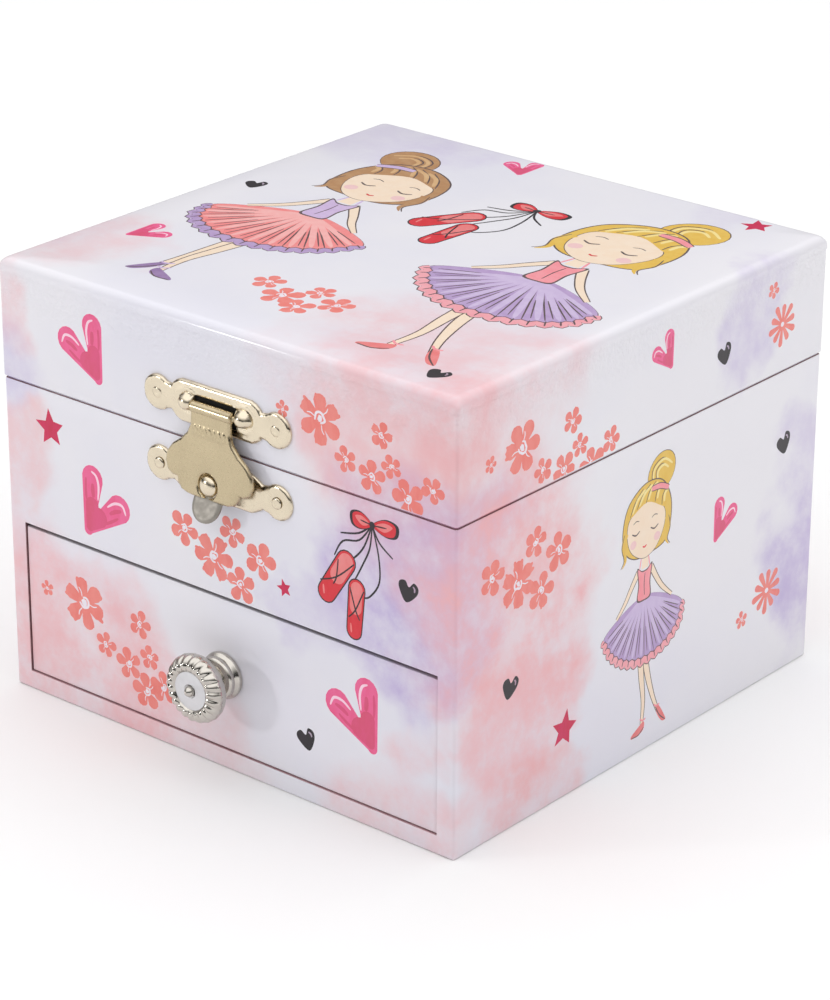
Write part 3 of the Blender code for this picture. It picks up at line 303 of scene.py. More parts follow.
# A dancer's inks: hair, its light, bodice, skirt, its light, frill and shoes
BLOND_LOOK = (BLOND, BLOND_LIGHT, PINK_BODICE, LILAC_SKIRT, LILAC_SKIRT_LIGHT, PINK_FRILL, SALMON)
BROWN_LOOK = (BROWN, BROWN_LIGHT, LILAC_BODICE, CORAL_SKIRT, CORAL_SKIRT_LIGHT, LILAC_SKIRT, LILAC_SHOES)


def smooth(points, closed=False, steps=5):
    """A curve through points."""
    count = len(points)
    curve = []
    for i in range(count if closed else count - 1):
        near = [(i + k) % count if closed else min(max(i + k, 0), count - 1) for k in (-1, 0, 1, 2)]
        for s in range(steps):
            t = s / steps
            weights = (
                -t + 2 * t**2 - t**3,
                2 - 5 * t**2 + 3 * t**3,
                t + 4 * t**2 - 3 * t**3,
                t**3 - t**2,
            )
            x, y = (sum(w * points[n][axis] for w, n in zip(weights, near)) / 2 for axis in (0, 1))
            curve.append((x, y))
    if not closed:
        curve.append(tuple(points[-1]))
    return curve


def stroke(curve, widths):
    """The outline of a stroke along a curve, with a width at each of its points."""
    sides = ([], [])
    for i, ((x, y), width) in enumerate(zip(curve, widths)):
        before, after = curve[max(i - 1, 0)], curve[min(i + 1, len(curve) - 1)]
        dx, dy = after[0] - before[0], after[1] - before[1]
        half = width / 2 / (math.hypot(dx, dy) or 1.0)
        sides[0].append((x - dy * half, y + dx * half))
        sides[1].append((x + dy * half, y - dx * half))
    return sides[0] + sides[1][::-1]


def line(points, width, ends=0.35, steps=5):
    """A drawn line's outline, of that width in its middle and thinner at its ends."""
    curve = smooth(points, steps=steps)
    last = len(curve) - 1
    swells = [math.sin(math.pi * i / last) ** 0.5 for i in range(last + 1)]
    return stroke(curve, [width * (ends + (1 - ends) * swell) for swell in swells])


def limb(points, widths):
    """A tapering shape along points, with a width at each."""
    along = smooth([(x, w) for (x, _), w in zip(points, widths)])
    return stroke(smooth(points), [width for _, width in along])


def oval(x, y, across, up, turn=0.0, points=20):
    """An oval of these half sizes."""
    c, s = math.cos(turn), math.sin(turn)
    outline = []
    for k in range(points):
        a = 2 * math.pi * k / points
        u, v = across * math.cos(a), up * math.sin(a)
        outline.append((x + u * c - v * s, y + u * s + v * c))
    return outline


def lobe(start, end, start_radius, end_radius, points=9):
    """The outline round two circles of different sizes."""
    heading = math.atan2(end[1] - start[1], end[0] - start[0])
    outline = []
    for centre, radius, quarter in ((end, end_radius, -math.pi / 2), (start, start_radius, math.pi / 2)):
        for k in range(points):
            a = heading + quarter + math.pi * k / (points - 1)
            outline.append((centre[0] + radius * math.cos(a), centre[1] + radius * math.sin(a)))
    return outline


def grown(outline, scale, x=0.0, y=0.0):
    """An outline scaled about the origin, then shifted."""
    return [(x + u * scale, y + v * scale) for u, v in outline]


def moved(drawing, x, y, scale=1.0, mirror=False, turn=0.0):
    """A drawing mirrored, turned and scaled about its origin, then put at (x, y)."""
    flip = -1 if mirror else 1
    c, s = math.cos(turn) * scale, math.sin(turn) * scale
    done = []
    for outline, ink in drawing:
        placed = [(x + flip * u * c - v * s, y + flip * u * s + v * c) for u, v in outline]
        done.append((placed[::-1] if mirror else placed, ink))
    return done


def heart(x, y, height, tall_left=False):
    """A brushed heart with its tip at (x, y): an upright lobe and a slanting one."""
    drawing = [
        (lobe((-0.02, 0.05), (-0.60, 0.50), 0.07, 0.20), HEART_PINK),
        (lobe((-0.02, 0.05), (-0.12, 0.81), 0.08, 0.19), HEART_PINK),
        (lobe((-0.05, 0.10), (-0.22, 0.27), 0.07, 0.15), HEART_DEEP),
        (lobe((-0.05, 0.14), (-0.10, 0.42), 0.07, 0.12), HEART_DEEP),
        (line([(-0.21, 0.52), (-0.23, 0.72), (-0.19, 0.86), (-0.10, 0.91)], 0.04), HEART_LIGHT),
        (line([(-0.72, 0.44), (-0.66, 0.56), (-0.52, 0.56), (-0.38, 0.47)], 0.04), HEART_LIGHT),
        (line([(-0.58, 0.36), (-0.44, 0.27), (-0.30, 0.20)], 0.045), HEART_DEEP),
        (line([(-0.64, 0.48), (-0.52, 0.44), (-0.42, 0.38)], 0.06), HEART_DEEP),
        (line([(0.00, 0.80), (0.01, 0.64), (0.00, 0.48)], 0.045), HEART_DEEP),
        (line([(-0.12, 0.74), (-0.12, 0.64), (-0.13, 0.54)], 0.07), HEART_DEEP),
    ]
    return moved(drawing, x, y, height, mirror=tall_left)


def black_heart(x, y, size, turn=0.0):
    right = [(0.0, -0.50), (0.42, -0.06), (0.48, 0.30), (0.22, 0.46)]
    left = [(0.02, 0.18), (-0.20, 0.38), (-0.46, 0.26), (-0.44, -0.04)]
    shine = line([(0.20, 0.30), (0.30, 0.22), (0.32, 0.08)], 0.08)
    drawing = [(smooth(right + left, closed=True), BLACK_INK), (shine, BLACK_SHINE)]
    return moved(drawing, x, y, size, turn=turn)


def star(x, y, radius, turn=0.1):
    outline = []
    for k in range(10):
        a = math.pi / 2 + math.pi * k / 5 + turn
        reach = radius * (1.0 if k % 2 == 0 else 0.42) * (1.0 + 0.10 * math.sin(3 * k))
        outline.append((x + reach * math.cos(a), y + reach * math.sin(a)))
    return [(outline, CRIMSON)]


def flower(x, y, size, petals=5, seed=0):
    """A brushed flower: ragged petals round an open middle."""
    spread = random.Random(seed * 7919 + int(x * 10) + int(y * 100))
    radius = size / 2
    turn = spread.uniform(0, math.pi)
    drawing = []

    def at(share, angle):
        return (x + share * radius * math.cos(angle), y + share * radius * math.sin(angle))

    for k in range(petals):
        a = turn + 2 * math.pi * k / petals + spread.uniform(-0.10, 0.10)
        width = spread.uniform(1.65, 1.95) / petals
        tip = at(spread.uniform(0.62, 0.72), a)
        drawing.append((lobe(at(0.20, a), tip, 0.16 * radius, width * radius, 7), CORAL))
        for side in (-0.24, 0.0, 0.22):
            tip = at(spread.uniform(0.80, 0.96), a + side)
            end_radius = spread.uniform(0.05, 0.09) * radius
            drawing.append((lobe(at(0.50, a + side), tip, 0.12 * radius, end_radius, 4), CORAL))
        if k % 2:
            crease = [at(0.24, a + 0.3), at(0.44, a + 0.2), at(0.60, a + 0.3)]
            drawing.append((line(crease, 0.045 * radius, 0.5), PAPER_SHOWS))
    gap = spread.uniform(0, 6)
    ring = [at(spread.uniform(0.17, 0.25), gap + 0.62 * k) for k in range(9)]
    drawing.append((line(ring, 0.10 * radius, 0.5), PAPER_SHOWS))
    drawing.append(([at(spread.uniform(0.08, 0.17), 2 * math.pi * k / 7) for k in range(7)], PAPER_SHOWS))
    return drawing


def daisy(x, y, size, petals=10):
    radius = size / 2
    drawing = []
    for k in range(petals):
        a = 2 * math.pi * k / petals + 0.2
        reach = radius * (1.0 if k % 2 else 0.86)
        start = (x + 0.24 * radius * math.cos(a), y + 0.24 * radius * math.sin(a))
        end = (x + 0.84 * reach * math.cos(a), y + 0.84 * reach * math.sin(a))
        drawing.append((lobe(start, end, radius * 0.08, radius * 0.15, 6), CORAL))
    drawing.append((oval(x, y, radius * 0.24, radius * 0.24, 0, 12), CORAL))
    drawing.append((oval(x, y, radius * 0.12, radius * 0.11, 0, 8), PAPER_SHOWS))
    return drawing


def slippers(x, y, scale=1.0):
    """A pair of ballet slippers hung from a bow whose knot is at (x, y)."""
    ribbons = (
        [(0, 0), (-3.2, -4.0), (-7.4, -5.4), (-9.6, -9.0)],
        [(0, 0), (-2.0, -5.0), (-4.4, -8.0), (-6.6, -9.6)],
        [(0, 0), (-0.6, -5.0), (-2.4, -9.0), (-4.4, -12.8)],
        [(0, 0), (1.6, -6.0), (1.8, -11.5), (-0.6, -15.2), (-2.6, -16.0)],
        [(0, 0), (-3.4, -2.6), (-8.0, -3.8)],
        [(0, 0), (1.8, -3.2), (5.2, -5.6)],
    )
    drawing = [(line(ribbon, 0.42, 0.7), BLACK_INK) for ribbon in ribbons]
    shoes = (
        ((-6.6, -9.6), (-11.6, -17.4), 2.25, 2.10),
        ((-3.9, -14.6), (-4.6, -23.6), 1.95, 1.75),
    )
    for top, toe, wide, narrow in shoes:
        inner_toe = (top[0] * 0.55 + toe[0] * 0.45, top[1] * 0.55 + toe[1] * 0.45)
        drawing.append((lobe(top, toe, wide + 0.28, narrow + 0.28), BLACK_INK))
        drawing.append((lobe(top, toe, wide, narrow), RED))
        drawing.append((lobe(top, inner_toe, wide - 0.45, narrow - 0.25), SALMON))
        middle = ((top[0] + toe[0]) / 2, (top[1] + toe[1]) / 2)
        for side in (-1, 1):
            start = (top[0] + side * wide * 0.9, top[1])
            end = (toe[0] - side * narrow * 0.8, toe[1] * 0.72 + top[1] * 0.28)
            drawing.append((line([start, middle, end], 0.34, 0.8), BLACK_INK))
        drawing.append((line([(toe[0] - 0.7, toe[1] - 0.6), (toe[0] - 0.9, toe[1] + 1.4)], 0.45), SALMON))
    for side, reach in ((-1, 5.0), (1, 6.0)):
        out = side * reach
        loop = [(0, 0), (out * 0.5, 1.9), (out, 1.4), (out * 0.96, -1.0), (out * 0.5, -1.5)]
        loop = smooth(loop, closed=True)
        fold = [(side * 0.8, 0.1), (out * 0.5, 1.2), (out * 0.85, 0.8), (out * 0.5, -0.7)]
        drawing.append((grown(loop, 1.08), BLACK_INK))
        drawing.append((grown(loop, 0.93, side * 0.12), RED))
        drawing.append((smooth(fold, closed=True), SALMON))
        drawing.append((line([(side * 0.4, 0), (out * 0.6, 0.3)], 0.30), BLACK_INK))
    drawing.append((oval(0, 0, 0.75, 0.75, 0, 10), BLACK_INK))
    return moved(drawing, x, y, scale)


BUN = (4.8, 26.4, 4.7, 4.1)  # the bun's middle and half sizes


def dancer(x, y, scale, look, mirror=False, stride=5.3):
    """A plain figure of a dancer with her waist at (x, y): hair in a bun, closed eyes and a pleated skirt.
    One foot is put out sideways by the stride."""
    hair, hair_light, bodice, skirt, skirt_light, frill, shoes = look
    drawing = []

    def fill(points, ink):
        drawing.append((smooth(points, closed=True), ink))

    def edge(points, width=0.26, ink=OUTLINE):
        drawing.append((line(points, width, 0.5), ink))

    def bare(points, outer_widths, inner_widths):
        """An arm or a leg: skin inside its outline."""
        drawing.append((limb(points, outer_widths), OUTLINE))
        drawing.append((limb(points, inner_widths), SKIN))

    # Legs and shoes, crossed at the ankles
    ankle = 0.9 + stride
    reach = ((0, -12.5), (0.25, -18.0), (0.62, -23.5), (1, -27.6))
    put_out = [(0.9 + stride * share, v) for share, v in reach]
    for leg in (put_out, [(-0.6, -12.5), (0.1, -18.0), (0.9, -23.5), (0.6, -28.6)]):
        bare(leg, (2.1, 1.9, 1.45, 1.1), (1.7, 1.5, 1.05, 0.75))
    shoe = ((-0.8, -26.2), (0.4, -26.6), (2.4, -29.6), (2.7, -30.6), (1.4, -30.4), (-0.2, -28.4))
    fill([(ankle + u, v) for u, v in shoe], shoes)
    fill([(1.3, -28.2), (1.5, -29.6), (0.4, -30.6), (-2.6, -30.9), (-2.8, -30.2), (-0.6, -29.0)], shoes)
    edge([(ankle - 0.9, -26.4), (ankle + 0.6, -28.8), (ankle + 2.7, -30.6)])
    edge([(-2.8, -30.7), (-0.4, -30.8), (1.4, -29.6)])
    for bow in ((0.9, -27.9), (ankle - 0.6, -26.3)):
        edge([(bow[0] - 0.9, bow[1] + 0.7), bow, (bow[0] + 1.1, bow[1] + 0.2)], 0.4, bodice)

    # Skirt: by turns a light pleat, a short line and a long line, then a scalloped frill
    hem = [(13.6, -5.2), (12.4, -9.6), (7.6, -12.9), (0.8, -14.0), (-5.6, -12.6)]
    hem += [(-10.6, -9.2), (-13.4, -4.8)]
    waist = [(-8.6, -1.6), (-2.3, 0.5), (2.4, 0.5), (8.6, -1.8)]
    fill(hem + waist, OUTLINE)
    fill(grown(hem + waist, 0.985), skirt)
    hem_line = smooth(hem, steps=6)
    for k, (u, v) in list(enumerate(hem_line))[1:-1]:
        pleat = [(u * 0.12, -0.2), (u * 0.50 + 0.10 * u * 0.3, v * 0.48), (u * 0.93, v * 0.92)]
        if k % 3 == 1:
            drawing.append((line(pleat, 0.95, 0.3), skirt_light))
        elif k % 3 == 2:
            edge([(p * 0.97, q * 0.95) for p, q in pleat[1:]], 0.20)
        else:
            edge(pleat, 0.24)
    scallops = []
    for k, (u, v) in enumerate(hem_line):
        out = 1.035 if k % 2 else 0.975
        scallops.append((u * out, v * out - 0.1))
    for width, ink in ((1.75, OUTLINE), (1.35, frill)):
        drawing.append((line(scallops, width, 0.6, steps=3), ink))
    for u, v in hem_line[1:-1:2]:
        edge([(u * 0.95, v * 0.93), (u * 1.03, v * 1.05)], 0.22)

    # Arms behind the hips, neck and bodice
    bare([(-2.0, 6.6), (-4.4, 3.6), (-6.4, 0.9), (-9.0, -1.6)], (1.7, 1.5, 1.3, 0.9), (1.3, 1.1, 0.95, 0.6))
    bare([(2.2, 6.6), (4.2, 3.4), (6.4, 0.6), (9.6, -2.2)], (1.7, 1.5, 1.3, 0.9), (1.3, 1.1, 0.95, 0.6))
    drawing.append((limb([(0.1, 11.0), (0.1, 6.8)], (1.9, 2.3)), SKIN))
    neckline = [(-2.5, 7.4), (-0.9, 6.5), (0.9, 6.5), (2.6, 7.4)]
    fill(neckline + [(2.1, 3.6), (2.3, 0.1), (0, -0.4), (-2.3, 0.1), (-2.0, 3.6)], OUTLINE)
    neckline = [(-2.2, 7.0), (-0.8, 6.2), (0.9, 6.2), (2.3, 7.0)]
    fill(neckline + [(1.8, 3.6), (2.0, 0.4), (0, -0.1), (-2.0, 0.4), (-1.7, 3.6)], bodice)
    edge([(0.2, 5.8), (0.0, 3.4), (0.2, 0.8)], 0.2)
    for strap in (-1, 1):
        edge([(strap * 1.7, 7.0), (strap * 1.2, 9.4)], 0.35, bodice)

    # Hair drawn up into a bun
    bun_x, bun_y, across, up = BUN
    bun = oval(*BUN, 0.5, 24)
    drawing.append((grown(bun, 1.03, -0.15, -0.75), OUTLINE))
    drawing.append((bun, hair))
    for ring in (0.72, 0.42):
        curl = [
            (bun_x + across * ring * math.cos(t), bun_y + up * ring * math.sin(t))
            for t in (0.4, 1.5, 2.6, 3.7, 4.8)
        ]
        edge(curl, 0.24)
        edge([(u + 0.5, v - 0.4) for u, v in curl], 0.6, hair_light)
    head = [(-7.2, 12.6), (-7.8, 17.6), (-5.9, 22.6), (-0.6, 25.6), (5.0, 24.8)]
    head += [(8.2, 20.4), (8.6, 15.2), (7.0, 10.8), (2.0, 9.6), (-3.6, 9.8)]
    fill(head, OUTLINE)
    fill([(0.4 + (u - 0.4) * 0.97, 17.0 + (v - 17.0) * 0.97) for u, v in head], hair)

    # Face, and the hair swept over it with a band
    face = [(-6.1, 15.2), (-4.4, 11.4), (-0.3, 9.2), (3.8, 10.6), (6.3, 14.8), (5.7, 18.6)]
    face = smooth(face + [(0.2, 21.2), (-5.3, 19.2)], closed=True)
    drawing.append((grown(face, 1.02, -0.01, -0.30), OUTLINE))
    drawing.append((face, SKIN))
    fill([(-5.6, 19.4), (0.3, 21.2), (6.2, 18.4), (7.6, 20.2), (4.6, 24.4), (-0.6, 25.2), (-5.4, 22.2)], hair)
    partings = (
        ((-5.4, 19.6), (-1.2, 24.6)),
        ((-3.2, 20.6), (1.2, 24.9)),
        ((-0.2, 21.1), (3.0, 24.9)),
        ((2.8, 20.4), (5.0, 24.0)),
        ((5.2, 19.0), (6.6, 22.4)),
    )
    for (u0, v0), (u1, v1) in partings:
        u, v = (u0 + u1) / 2 - 0.5, (v0 + v1) / 2 + 0.3
        edge([(u0, v0), (u, v), (u1, v1)], 0.24)
        edge([(u0 + 0.8, v0 + 0.5), (u + 0.8, v + 0.3), (u1 + 0.7, v1 - 0.4)], 0.7, hair_light)
    flicks = (
        (-1, [(-6.6, 16.4), (-7.4, 13.6), (-6.6, 10.8), (-7.6, 9.2)]),
        (1, [(7.2, 16.0), (7.8, 13.4), (7.0, 11.0), (7.9, 9.6)]),
    )
    for side, flick in flicks:
        drawing.append((limb(flick, (1.6, 1.3, 0.8, 0.2)), hair))
        edge([(u + side * 0.5, v) for u, v in flick], 0.24)
    for width, ink in ((1.5, OUTLINE), (1.1, bodice)):
        drawing.append((line([(1.6, 23.6), (4.6, 23.4), (7.4, 22.2)], width, 0.7), ink))
    for u, v in ((-3.3, 15.4), (2.9, 15.0)):
        edge([(u - 1.3, v + 0.25), (u, v - 0.35), (u + 1.3, v + 0.25)], 0.34)
        edge([(u - 1.0, v + 2.3), (u, v + 2.7), (u + 1.0, v + 2.4)], 0.2)
    for cheek in ((-4.1, 13.2), (3.9, 12.7)):
        drawing.append((oval(*cheek, 1.05, 0.95, 0, 14), BLUSH))
    edge([(-0.9, 11.9), (-0.3, 11.6), (0.4, 11.9)], 0.36, RED)
    return moved(drawing, x, y, scale, mirror=mirror)


def flowers(*each, at=(0, 0)):
    """Flowers, each given as (x, y, size), with six petals if it is large."""
    drawing = []
    for k, (x, y, size) in enumerate(each):
        drawing += flower(at[0] + x, at[1] + y, size, 6 if size > 9 else 5, seed=k)
    return drawing


def sprig(x, y):
    """The cluster of flowers that runs along the seam."""
    upper = ((9.5, 0.5, 11), (0, 0, 3.4), (25.0, 1.2, 5.5), (16.0, -6.2, 5.4))
    lower = ((22.5, -8.0, 6.8), (27.5, -4.6, 5.0), (31.5, -10.0, 8.0), (37.5, -6.6, 5.6))
    return flowers(*upper, *lower, at=(x, y))


def bunch(x, y):
    """The cluster of flowers on the case."""
    each = ((0, 0, 7.4), (8.0, -4.0, 10.4), (13.2, 3.0, 6.6), (20.5, -1.2, 8.2), (15.2, -8.0, 7.8))
    return flowers(*each, at=(x, y))


def front_pictures():
    case = star(12.7, 62, 4.4) + heart(22.6, 41.6, 15.4, tall_left=True) + bunch(50, 50.5)
    case += star(76.8, 45.2, 2.1, 0.3) + slippers(99.5, 65.3) + black_heart(108.4, 54.2, 5, -0.2)
    lid = heart(27.6, 75.8, 14.4) + sprig(77, 83.3)
    return case, lid


def drawer_picture():
    left = ((9.7, 25, 3.5), (20.5, 24.8, 12), (36.5, 24.8, 6), (26.5, 17.2, 5.6))
    right = ((33, 14.8, 7), (39, 18, 5.4), (38, 10, 8), (42.8, 12.4, 7.4))
    return flowers(*left, *right) + heart(99.6, 16.6, 15.6) + black_heart(82, 13.7, 5, 0.3)


def right_pictures():
    case = bunch(10.6, 56.6) + black_heart(16.5, 31.2, 5, -0.3) + star(34.2, 15.3, 4.4, -0.2)
    case += dancer(59.7, 34.8, 1.0, BLOND_LOOK) + heart(84.1, 39.2, 9.6, tall_left=True)
    case += black_heart(107.8, 53.6, 5, 0.2) + daisy(104, 21, 11) + flower(95, 17.3, 4)
    lid = sprig(9.5, 80.3) + heart(66.4, 83.0, 8.4) + black_heart(84.6, 80.4, 4.8, 0.2)
    lid += flower(101.3, 89.4, 3.6) + daisy(105, 81, 10)
    return case, lid


def left_pictures():
    case = bunch(86, 56) + star(20, 52, 4.4) + heart(34, 14, 13) + slippers(60, 52, 1.1)
    case += black_heart(92, 24, 5, 0.2)
    lid = sprig(12, 84) + heart(94, 77, 12, tall_left=True) + black_heart(72, 84, 4.8)
    return case, lid


def back_pictures():
    case = bunch(18, 20) + heart(98, 12, 14) + star(84, 40, 4.2) + black_heart(60, 14, 5, 0.2)
    case += daisy(18, 52, 10)
    lid = heart(16, 77, 11) + sprig(40, 86) + star(106, 84, 3.6)
    return case, lid


def top_picture():
    picture = dancer(31.2, 59.8, 1.56, BROWN_LOOK, mirror=True, stride=1.4)
    picture += dancer(91.4, 59.6, 1.62, BLOND_LOOK) + slippers(65.4, 93.0, 1.22)
    picture += heart(47.2, 109.6, 9.4) + heart(10.2, 26.2, 9.6, tall_left=True)
    picture += black_heart(8.2, 67.6, 5, 0.3) + black_heart(109, 7.4, 5, -0.1) + star(106, 115.2, 3.8, 0.5)
    picture += flowers((51.6, 24.2, 7), (58.6, 20, 9), (63.8, 26, 6.4), (70.6, 22.6, 7.6), (65, 17, 7.6))
    return picture


# ---- printed sheets -----------------------------------------------------------------------------
PICTURE_MARGIN = 0.06  # pictures stop this far inside a panel's outline, in mm
MERGE = 2e-6  # points closer than this become one, in metres


def triangulated(rings, loose=()):
    """Triangles that fill rings of flat points and pass through loose points.
    Gives the points, the triangles, and for each triangle the numbers of the rings round it."""
    points, faces = [], []
    for ring in rings:
        faces.append(list(range(len(points), len(points) + len(ring))))
        points += [Vector(p) for p in ring]
    made, _, triangles, _, _, sources = delaunay_2d_cdt(points + list(loose), [], faces, 1, 1e-5)
    return made, triangles, sources


def turns_left(outline):
    """Whether an outline runs anticlockwise."""
    return sum(a[0] * b[1] - b[0] * a[1] for a, b in zip(outline, outline[1:] + outline[:1])) > 0


def clip(outline, low, high):
    """The part of an outline inside a rectangle."""
    for axis in (0, 1):
        for bound, sign in ((low[axis], 1), (high[axis], -1)):
            kept = []
            for i, point in enumerate(outline):
                before = outline[i - 1]
                here, there = sign * (point[axis] - bound), sign * (before[axis] - bound)
                if (here >= 0) != (there >= 0):
                    t = there / (there - here)
                    kept.append(tuple(before[k] + t * (point[k] - before[k]) for k in (0, 1)))
                if here >= 0:
                    kept.append(point)
            outline = kept
    return outline


def in_scene(name, data):
    obj = bpy.data.objects.new(name, data)
    bpy.context.scene.collection.objects.link(obj)
    return obj


def drop_loose_points(bm):
    bmesh.ops.delete(bm, geom=[v for v in bm.verts if not v.link_faces], context="VERTS")


def new_object(name, bm, look, body, sharp=None, recalculate=True):
    """The mesh as an object in the frame. Edges sharper than sharp degrees stay sharp."""
    if recalculate:
        bmesh.ops.recalc_face_normals(bm, faces=bm.faces)
    mesh = bpy.data.meshes.new(name)
    bm.to_mesh(mesh)
    bm.free()
    mesh.materials.append(look)
    if sharp is not None:
        mesh.shade_smooth()
        mesh.set_sharp_from_angle(angle=math.radians(sharp))
    obj = in_scene(name, mesh)
    if body:
        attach(obj, body)
    return obj


class Surface:
    """A printed surface under construction, in mm, with an ink for each face."""

    def __init__(self):
        self.points, self.faces, self.inks = [], [], []

    def add(self, points, faces, inks):
        first = len(self.points)
        self.points += points
        self.faces += [tuple(first + i for i in face) for face in faces]
        self.inks += inks

    def bands(self, rings, inks=None, gaps=()):
        """Faces between rings of as many points, in an ink for each band. gaps lists places left open."""
        for lower, upper, ink in zip(rings, rings[1:], inks or [None] * len(rings)):
            count = len(lower)
            corners = [(i, (i + 1) % count) for i in range(count) if i not in gaps]
            faces = [(i, n, count + n, count + i) for i, n in corners]
            self.add(lower + upper, faces, [ink] * len(faces))

    def panel(self, outline, drawing, to_space, hole=None):
        """A flat region with a drawing on it. to_space puts (u, v) where it goes."""
        low = [min(p[axis] for p in outline) + PICTURE_MARGIN for axis in (0, 1)]
        high = [max(p[axis] for p in outline) - PICTURE_MARGIN for axis in (0, 1)]
        rings, inks = [outline], [None]
        for shape, ink in drawing:
            clipped = clip(shape, low, high)
            if len(clipped) > 2:
                rings.append(clipped if turns_left(clipped) else clipped[::-1])
                inks.append(ink)
        left_out = len(rings) if hole else None
        points, triangles, sources = triangulated(rings + [hole] if hole else rings)
        kept = [(t, max(s)) for t, s in zip(triangles, sources) if 0 in s and left_out not in s]
        self.add([to_space(*p) for p in points], [t for t, _ in kept], [inks[top] for _, top in kept])

    def build(self, name, body):
        bm = bmesh.new()
        verts = [bm.verts.new([c * MM for c in p]) for p in self.points]
        colour = bm.loops.layers.float_color.new("ink")
        for face, ink in zip(self.faces, self.inks):
            made = bm.faces.new([verts[i] for i in face])
            made.smooth = True
            for loop in made.loops:
                loop[colour] = (*linear(ink[0]), ink[1]) if ink else (1.0, 1.0, 1.0, 0.0)
        bmesh.ops.remove_doubles(bm, verts=bm.verts, dist=MERGE)
        drop_loose_points(bm)
        obj = new_object(name, bm, PRINTED, body, 35, recalculate=False)
        backing = obj.modifiers.new("thickness", "SOLIDIFY")
        backing.thickness = PAPER_THICKNESS * MM
        backing.offset = -1
        return obj


def plan_ring(half, corner, z):
    """A square with round corners, anticlockwise from its front right corner."""
    ring = []
    for sign_x, sign_y, start in ((1, -1, -90), (1, 1, 0), (-1, 1, 90), (-1, -1, 180)):
        for k in range(CORNER_STEPS + 1):
            a = math.radians(start + 90 * k / CORNER_STEPS)
            x = sign_x * (half - corner) + corner * math.cos(a)
            y = sign_y * (half - corner) + corner * math.sin(a)
            ring.append((x, y, z))
    return ring


def square_rings(profile, corner=CORNER):
    """Rings round the box, from steps of (half width, height)."""
    return [plan_ring(half, corner, z) for half, z in profile]


# How (u, v) on each side goes into space at distance d from the middle
SIDES = {
    "front": lambda d: lambda u, v: (u - HALF, -d, v),
    "right": lambda d: lambda u, v: (d, u - HALF, v),
    "back": lambda d: lambda u, v: (HALF - u, d, v),
    "left": lambda d: lambda u, v: (-d, HALF - u, v),
}
# Where the four flats come in a plan ring
FLATS = [k * (CORNER_STEPS + 1) + CORNER_STEPS for k in range(4)]


def four_panels(surface, half, low, high, pictures, holes=None):
    """The printed sides of the box, between heights low and high."""
    reach = half - CORNER
    outline = [(HALF - reach, low), (HALF + reach, low), (HALF + reach, high), (HALF - reach, high)]
    for side, to_space in SIDES.items():
        surface.panel(outline, pictures[side], to_space(half), (holes or {}).get(side))


def make_case_paper(pictures):
    wall_low, wall_high = millimetres("case_right_wall")
    _, floor_high = millimetres("case_bottom")
    rail_low, _ = millimetres("case_front_rail")
    surface = Surface()
    half = HALF + PAPER
    low, high = 0.35, wall_high[2] - 0.25
    surface.bands(square_rings([(HALF - 1.5, 0.03), (HALF - 0.10, 0.03), (half - 0.06, 0.14), (half, low)]))
    rim = wall_high[2] + 0.12
    over = [(half, high), (half - 0.07, high + 0.22), (half - 0.30, rim)]
    over += [(wall_low[0] - 0.12, rim), (wall_low[0] - 0.15, high)]
    # The seam's inner edge is inked dark as painted shade, as it is always in shadow
    surface.bands(square_rings(over), (None, GAP_SHADE, None, None))
    surface.bands(square_rings([(half, low), (half, high)]), gaps=FLATS)

    # The drawer's opening, with the paper turned in round it; its faces are inked dark as painted shade, darkest
    # at the top
    x, z_low, z_high = wall_low[0] - 0.10, floor_high[2] + 0.08, rail_low[2] - 0.03
    opening = [(HALF - x, z_low), (HALF + x, z_low), (HALF + x, z_high), (HALF - x, z_high)]
    four_panels(surface, half, low, high, pictures, {"front": opening})
    mouth, inside = ([(u - HALF, -half + depth, v) for u, v in opening] for depth in (0, 3.4))
    turned_in = [(i, i + 4, (i + 1) % 4 + 4, (i + 1) % 4) for i in range(4)]
    surface.add(mouth + inside, turned_in, [SOFT_SHADE, GAP_SHADE, DEEP_SHADE, GAP_SHADE])
    return surface.build("case_paper", "case")


def make_lid_paper(pictures, top):
    rim = millimetres("lid_rim")[0][2]
    board_top = millimetres("lid_top_board")[1][2]
    inner = millimetres("case_right_wall")[0][0]
    surface = Surface()
    half = HALF + PAPER + 0.15
    low, fold = rim + 0.25, board_top - 2.6
    under = [(inner - 0.12, low), (inner - 0.10, rim - 0.10), (half - 0.30, rim - 0.10)]
    under += [(half - 0.07, low - 0.2), (half, low)]
    # The band at the seam is inked dark: painted shade
    surface.bands(square_rings(under), (None, None, GAP_SHADE, None))
    surface.bands(square_rings([(half, low), (half, fold)]), gaps=FLATS)
    four_panels(surface, half, low, fold, pictures)

    # The top sheet overlaps the sides and rolls over the edge
    outer = half + 0.13
    radius, steps = 2.0, 6
    crown = board_top + PAPER + 0.1
    rings = square_rings([(half, fold), (outer, fold + 0.05), (outer, crown - radius)])
    for k in range(1, steps + 1):
        a = math.radians(90 * k / steps)
        edge = outer - radius * (1 - math.cos(a))
        rings.append(plan_ring(edge, CORNER + 0.9 * k / steps, crown - radius * (1 - math.sin(a))))
    surface.bands(rings)
    outline = [(x + HALF, y + HALF) for x, y, _ in rings[-1]]
    surface.panel(outline, top, lambda u, v: (u - HALF, v - HALF, crown))
    return surface.build("lid_paper", "lid")


